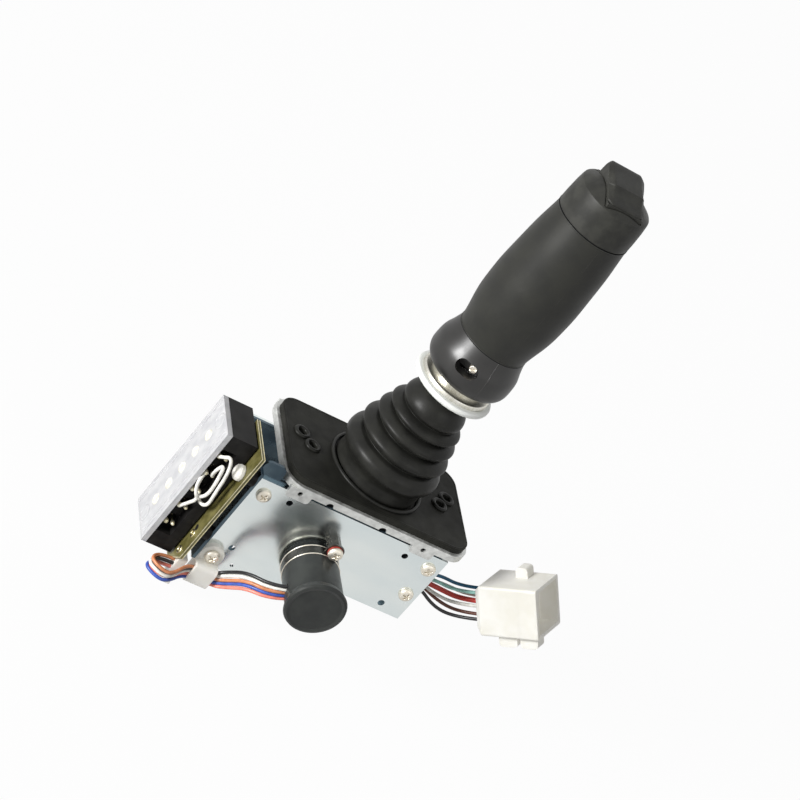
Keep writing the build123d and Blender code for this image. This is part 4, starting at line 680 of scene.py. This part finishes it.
world = bpy.data.worlds.new("white_room")
world.use_nodes = True
room = world.node_tree
sky = room.nodes["Background"]
room_ray = room.nodes.new("ShaderNodeLightPath")
shown = room.nodes.new("ShaderNodeMath")
shown.operation = "MAXIMUM"
level = room.nodes.new("ShaderNodeMapRange")
level.inputs["To Min"].default_value = ROOM_LIGHT
level.inputs["To Max"].default_value = ROOM_IN_SHINE
full = room.nodes.new("ShaderNodeMath")
full.operation = "MAXIMUM"
room.links.new(room_ray.outputs["Is Glossy Ray"], shown.inputs[0])
room.links.new(room_ray.outputs["Is Transmission Ray"], shown.inputs[1])
room.links.new(shown.outputs[0], level.inputs["Value"])
room.links.new(room_ray.outputs["Is Camera Ray"], full.inputs[0])
room.links.new(level.outputs["Result"], full.inputs[1])
room.links.new(full.outputs[0], sky.inputs["Strength"])
sky.inputs["Color"].default_value = (1, 1, 1, 1)
bpy.context.scene.world = world


def lamp(name, place, aim, size, power):
    """A square area lamp at place, turned to face aim."""
    light = bpy.data.lights.new(name, "AREA")
    light.size, light.energy = size, power
    z = np.array(place, float) - aim
    z /= np.linalg.norm(z)
    x = np.cross((0, 0, 1), z)
    x /= np.linalg.norm(x)
    matrix = np.eye(4)
    matrix[:3, :4] = np.column_stack([x, np.cross(z, x), z, place])
    shine = bpy.data.objects.new(name, light)
    shine.matrix_world = Matrix(matrix.tolist())
    bpy.context.collection.objects.link(shine)


middle = (0, 0, 0.04)
lamp("key_lamp", (-1.66, -0.55, 0.5), middle, size=0.6, power=44)
lamp("front_lamp", (0.7, -1.3, 1.1), middle, size=0.8, power=3)
print("stage is set")

# %% [markdown]
# ## Materials
#
# Every finish starts as a Principled surface with one colour and one roughness. Real surfaces are never that even, so
# three helpers add what the eye expects: `mottle` drifts the colour in soft clouds, `uneven` drifts the roughness, and
# `relief` raises a fine bump. All of them read noise on the object's own coordinates, so nothing slides when a part
# moves.

# %% Material helpers
def srgb(red, green, blue):
    """A display colour from 0 to 255 as linear light."""
    c = np.array([red, green, blue]) / 255
    return (*np.where(c <= 0.04045, c / 12.92, ((c + 0.055) / 1.055) ** 2.4).tolist(), 1.0)


def finish(name, colour, roughness, metallic=0.0, **sockets):
    """A Principled surface of one colour and roughness. Other sockets are given by name, with _ for a space."""
    look = bpy.data.materials.new(name)
    look.use_nodes = True
    shader = look.node_tree.nodes["Principled BSDF"].inputs
    shader["Base Color"].default_value = srgb(*colour)
    shader["Roughness"].default_value = roughness
    shader["Metallic"].default_value = metallic
    for socket, value in sockets.items():
        shader[socket.replace("_", " ")].default_value = value
    return look


def noise(look, size, stretch=(1, 1, 1), detail=3.0):
    """Noise whose grains are size millimetres wide, longer along an axis with a stretch above one."""
    tree = look.node_tree
    place = tree.nodes.new("ShaderNodeTexCoord")
    mapping = tree.nodes.new("ShaderNodeMapping")
    mapping.inputs["Scale"].default_value = [1 / s for s in stretch]
    grains = tree.nodes.new("ShaderNodeTexNoise")
    grains.inputs["Scale"].default_value = 1000 / size
    grains.inputs["Detail"].default_value = detail
    tree.links.new(place.outputs["Object"], mapping.inputs["Vector"])
    tree.links.new(mapping.outputs["Vector"], grains.inputs["Vector"])
    return grains.outputs["Fac"]


def mottle(look, size, first, second, low=0.38, high=0.62, **how):
    """The colour drifts between two display colours in clouds of that size."""
    tree = look.node_tree
    ramp = tree.nodes.new("ShaderNodeValToRGB")
    ramp.color_ramp.elements[0].position, ramp.color_ramp.elements[1].position = low, high
    ramp.color_ramp.elements[0].color, ramp.color_ramp.elements[1].color = srgb(*first), srgb(*second)
    tree.links.new(noise(look, size, **how), ramp.inputs["Fac"])
    tree.links.new(ramp.outputs["Color"], tree.nodes["Principled BSDF"].inputs["Base Color"])
    return look


def uneven(look, size, low, high, **how):
    """The roughness drifts between low and high."""
    tree = look.node_tree
    spread = tree.nodes.new("ShaderNodeMapRange")
    spread.inputs["From Min"].default_value, spread.inputs["From Max"].default_value = 0.35, 0.65
    spread.inputs["To Min"].default_value, spread.inputs["To Max"].default_value = low, high
    tree.links.new(noise(look, size, **how), spread.inputs["Value"])
    tree.links.new(spread.outputs["Result"], tree.nodes["Principled BSDF"].inputs["Roughness"])
    return look


def relief(look, size, depth, **how):
    """A bump depth millimetres high. A second call lies on top of the first."""
    tree = look.node_tree
    shader = tree.nodes["Principled BSDF"]
    bump = tree.nodes.new("ShaderNodeBump")
    bump.inputs["Distance"].default_value = depth * MM
    tree.links.new(noise(look, size, **how), bump.inputs["Height"])
    if shader.inputs["Normal"].is_linked:
        tree.links.new(shader.inputs["Normal"].links[0].from_socket, bump.inputs["Normal"])
    tree.links.new(bump.outputs["Normal"], shader.inputs["Normal"])
    return look


def dress(look, *pieces):
    """Gives the finish to new pieces, or to CAD nodes named by their names."""
    for piece in pieces:
        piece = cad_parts[piece] if isinstance(piece, str) else piece
        piece.data.materials.clear()
        piece.data.materials.append(look)


print("material helpers ready")

# %% [markdown]
# ## Rubber and plastic
#
# The boot is black rubber with a fine tooth, and its flange is the same with a duller, dusty face. The grip is soft
# rubber, a little lighter and smoother, the collar under it is harder with a sheen, and the head and the rocker lie
# between the two. The potentiometer has a glossy black body and a greyer cap. Nylon lets light in under its surface,
# and a faint glow, painted light, lifts its shade. The clear cover is frosted, and its wells are a little warmer.

# %% Rubber and plastic finishes
boot_rubber = finish("boot_rubber", (34, 34, 31), 0.4, Specular_IOR_Level=0.16)
mottle(boot_rubber, 9, (29, 29, 27), (39, 39, 36))
uneven(boot_rubber, 5, 0.34, 0.44)
relief(boot_rubber, 0.35, 0.012)
relief(boot_rubber, 4, 0.03)

flange_rubber = finish("flange_rubber", (40, 40, 36), 0.5, Specular_IOR_Level=0.08)
mottle(flange_rubber, 12, (35, 35, 32), (45, 45, 41))
uneven(flange_rubber, 5, 0.44, 0.54)
relief(flange_rubber, 0.35, 0.012)

grip_rubber = finish("grip_rubber", (38, 38, 35), 0.44, Specular_IOR_Level=0.28)
mottle(grip_rubber, 9, (36, 36, 33), (41, 41, 37))
uneven(grip_rubber, 7, 0.42, 0.46)
relief(grip_rubber, 0.3, 0.01)

collar_plastic = finish("collar_plastic", (30, 29, 28), 0.36, Specular_IOR_Level=0.6)
mottle(collar_plastic, 11, (25, 24, 23), (31, 30, 28))
uneven(collar_plastic, 4, 0.33, 0.38)
relief(collar_plastic, 0.22, 0.005)

head_plastic = finish("head_plastic", (46, 46, 42), 0.46, Specular_IOR_Level=0.25)
mottle(head_plastic, 6, (40, 40, 37), (52, 52, 48))
uneven(head_plastic, 4, 0.42, 0.5)
relief(head_plastic, 0.3, 0.012)

cap_plastic = finish("cap_plastic", (50, 52, 51), 0.34, Specular_IOR_Level=0.25)
mottle(cap_plastic, 7, (46, 48, 47), (54, 56, 54))
uneven(cap_plastic, 3, 0.3, 0.38)
relief(cap_plastic, 0.5, 0.003)

pot_black = finish("pot_black", (20, 22, 21), 0.22, Specular_IOR_Level=0.22)
mottle(pot_black, 5, (17, 19, 18), (25, 27, 25))
uneven(pot_black, 2, 0.18, 0.28)
relief(pot_black, 0.4, 0.003)

black_plastic = finish("black_plastic", (30, 29, 29), 0.4, Specular_IOR_Level=0.1)
mottle(black_plastic, 6, (24, 23, 23), (36, 35, 34))
uneven(black_plastic, 3, 0.32, 0.46)
relief(black_plastic, 0.4, 0.008)

# Painted light: the nylon's faint warm glow brightens its shaded faces.
nylon = finish("nylon", (211, 210, 203), 0.4, Subsurface_Weight=0.5, Subsurface_Scale=0.003,
               Subsurface_Radius=(1, 1, 0.9), Emission_Color=(1.0, 0.97, 0.9, 1.0), Emission_Strength=0.15)
mottle(nylon, 12, (206, 204, 195), (214, 213, 208))
uneven(nylon, 4, 0.36, 0.46)
relief(nylon, 0.6, 0.006)

clear_cover = finish("clear_cover", (214, 214, 216), 0.14, Transmission_Weight=0.3, IOR=1.46)
mottle(clear_cover, 4, (206, 206, 209), (222, 222, 223), 0.35, 0.65, stretch=(1, 1, 1.6), detail=4.0)
uneven(clear_cover, 5, 0.08, 0.2)
relief(clear_cover, 3, 0.06)

cover_glow = finish("cover_glow", (216, 214, 205), 0.2, IOR=1.46)
mottle(cover_glow, 1.6, (206, 203, 190), (224, 223, 217))
uneven(cover_glow, 2, 0.14, 0.26)
relief(cover_glow, 1.2, 0.04)

dress(boot_rubber, bellows, flange_lips, flange_ring)
dress(flange_rubber, "boot_flange", flange_edge)
dress(grip_rubber, "grip_sleeve", *grip_ridges)
dress(collar_plastic, "handle_shell_left", "handle_shell_right", *collar_ridges)
dress(head_plastic, head, rocker_key, rocker_hub, rocker_skirt)
dress(cap_plastic, "pot_cap")
dress(pot_black, "pot_body")
dress(black_plastic, "block_base", "board_spacers", "rocker_sensor", "harness_sleeve", "harness_clamp")
dress(nylon, "p_clip", "connector_body", "connector_shroud", "lead_header", nylon_nut)
dress(clear_cover, "block_cover", cover_bosses)
dress(cover_glow, cover_wells)
print("rubber and plastic are dressed")

# %% [markdown]
# ## Metal
#
# Zinc plate is a bright, slightly blue metal with cloudy patches from the plating bath and long faint rolling marks.
# The inner frame is a darker blue-grey zinc, whose darkness is painted shade, and the mounting plate has a duller,
# paler coat. Turned steel is even, the lock ring is nearly white with a finely lined step, the contacts and eyelets
# are pale gold, and the board is olive. Each finish is dressed on solids by their node's name or on the new pieces.

# %% Metal finishes
bright_zinc = finish("bright_zinc", (230, 237, 236), 0.24, 1.0)
mottle(bright_zinc, 26, (221, 230, 231), (240, 244, 241), 0.3, 0.7, stretch=(2.5, 1, 1))
uneven(bright_zinc, 8, 0.19, 0.26, stretch=(6, 1, 1))
relief(bright_zinc, 1.5, 0.002, stretch=(12, 1, 1))

# Painted shade: the inner frame's zinc is made far darker than the side plates' for the shade inside the frame.
frame_zinc = finish("frame_zinc", (74, 88, 98), 0.3, 1.0)
mottle(frame_zinc, 20, (50, 64, 75), (100, 115, 123), 0.3, 0.7)
uneven(frame_zinc, 5, 0.22, 0.34, stretch=(5, 1, 1))
relief(frame_zinc, 1.5, 0.003, stretch=(10, 1, 1))

cast_zinc = finish("cast_zinc", (214, 215, 211), 0.45, 0.75)
mottle(cast_zinc, 3, (198, 199, 196), (226, 227, 224), 0.32, 0.68)
uneven(cast_zinc, 3, 0.38, 0.52)
relief(cast_zinc, 0.5, 0.01)

screw_steel = finish("screw_steel", (228, 221, 206), 0.42, 0.85)
mottle(screw_steel, 3, (222, 214, 198), (233, 227, 214))
uneven(screw_steel, 2.5, 0.4, 0.45)
relief(screw_steel, 0.8, 0.0005)

turned_steel = finish("turned_steel", (206, 207, 205), 0.3, 1.0)
mottle(turned_steel, 3, (198, 199, 197), (214, 215, 213))
uneven(turned_steel, 0.8, 0.26, 0.36)
relief(turned_steel, 0.3, 0.002)

dark_steel = finish("dark_steel", (84, 83, 79), 0.3, 1.0)
mottle(dark_steel, 5, (70, 69, 66), (98, 96, 92))
uneven(dark_steel, 2, 0.24, 0.36)
relief(dark_steel, 0.6, 0.003)

satin_aluminium = finish("satin_aluminium", (242, 244, 240), 0.45, 0.25)
mottle(satin_aluminium, 12, (238, 240, 235), (246, 247, 244))
uneven(satin_aluminium, 1.2, 0.46, 0.54)
relief(satin_aluminium, 0.3, 0.0015)

brushed_step = finish("brushed_step", (208, 206, 196), 0.36, 1.0)
mottle(brushed_step, 0.7, (200, 197, 184), (216, 214, 206), stretch=(1, 1, 6))
uneven(brushed_step, 0.6, 0.32, 0.4, stretch=(1, 1, 6))
relief(brushed_step, 0.4, 0.001, stretch=(1, 1, 6))

bronze = finish("bronze", (176, 132, 82), 0.38, 1.0)
mottle(bronze, 3, (158, 116, 70), (190, 146, 96))
relief(bronze, 0.4, 0.005)

pale_gold = finish("pale_gold", (230, 220, 180), 0.3, 1.0)
mottle(pale_gold, 1.5, (220, 208, 162), (240, 233, 202))
relief(pale_gold, 0.3, 0.003)

solder = finish("solder", (232, 226, 198), 0.34, 0.45)
mottle(solder, 1.2, (214, 204, 164), (242, 238, 220))
relief(solder, 0.5, 0.01)

# Painted shade: the near-black of the plugs in the openings and of the rings in the handle's seams.
painted_shade = finish("painted_shade", (16, 18, 20), 0.6, Specular_IOR_Level=0.0)
mottle(painted_shade, 2, (11, 13, 15), (22, 24, 26))
relief(painted_shade, 0.5, 0.01)

gear_nylon = finish("gear_nylon", (222, 214, 192), 0.45)
mottle(gear_nylon, 6, (214, 205, 182), (230, 223, 204))
uneven(gear_nylon, 2, 0.4, 0.52)
relief(gear_nylon, 0.5, 0.006)

red_fibre = finish("red_fibre", (158, 58, 48), 0.55)
mottle(red_fibre, 1.2, (140, 46, 38), (178, 74, 62))
relief(red_fibre, 0.3, 0.01)

olive_board = finish("olive_board", (98, 93, 52), 0.34)
mottle(olive_board, 7, (82, 78, 40), (118, 112, 70))
uneven(olive_board, 3, 0.3, 0.46)
relief(olive_board, 0.5, 0.008, stretch=(1, 3, 1))

dress(bright_zinc, "front_side_plate", "rear_side_plate")
dress(frame_zinc, "inner_frame", "end_bracket")
dress(cast_zinc, "mounting_plate")
# The band's edge beads wear the pale screw steel: a painted highlight on the dark band.
dress(screw_steel, screws, set_screw, band_edge_highlights)
dress(turned_steel, "pivot_pin", "lever_rod", "pot_shaft", "return_spring", "spring_post", spring, "rocker_pin",
      "pot_nut", "pivot_spacers")
dress(dark_steel, "pot_clamp_band", "pot_standoff")
dress(satin_aluminium, "lever_hub", ring_disc)
dress(brushed_step, ring_step)
dress(bronze, "hub_bushings")
dress(gear_nylon, "sector_gear", "pinion")
dress(pale_gold, "block_contacts", board_eyelets, *edge_strips)
dress(solder, solder_drops)
dress(painted_shade, painted_shade_plugs, *painted_seam_shade)
dress(red_fibre, "pot_washer")
dress(olive_board, "circuit_board")
print("metal is dressed")

# %% [markdown]
# ## Wire jackets
#
# The wires have thin PVC jackets: a strong colour, a soft sheen and tiny drawing marks along their length.

# %% Wire jackets
JACKETS = {
    "black": (24, 24, 26), "white": (236, 234, 226), "brown": (198, 128, 88), "blue": (60, 88, 176),
    "salmon": (240, 138, 120), "red": (226, 72, 60), "teal": (38, 104, 140), "aqua": (168, 224, 212),
    "grey": (222, 219, 207), "umber": (112, 64, 46),
}
DARKER, LIGHTER = 0.92, 1.04
jacket = {}
for colour, shade in JACKETS.items():
    look = finish("jacket_" + colour, shade, 0.38)
    mottle(look, 2.5, [v * DARKER for v in shade], [min(255, v * LIGHTER) for v in shade])
    uneven(look, 1.5, 0.32, 0.44)
    relief(look, 0.4, 0.004)
    jacket[colour] = look
for colour, piece in harness.items():
    dress(jacket["umber" if colour == "brown" else colour], piece)
for colour, piece in leads.items():
    dress(jacket["salmon" if colour == "red" else colour], piece)
dress(jacket["white"], *jumpers)
print("jackets:", ", ".join(JACKETS))
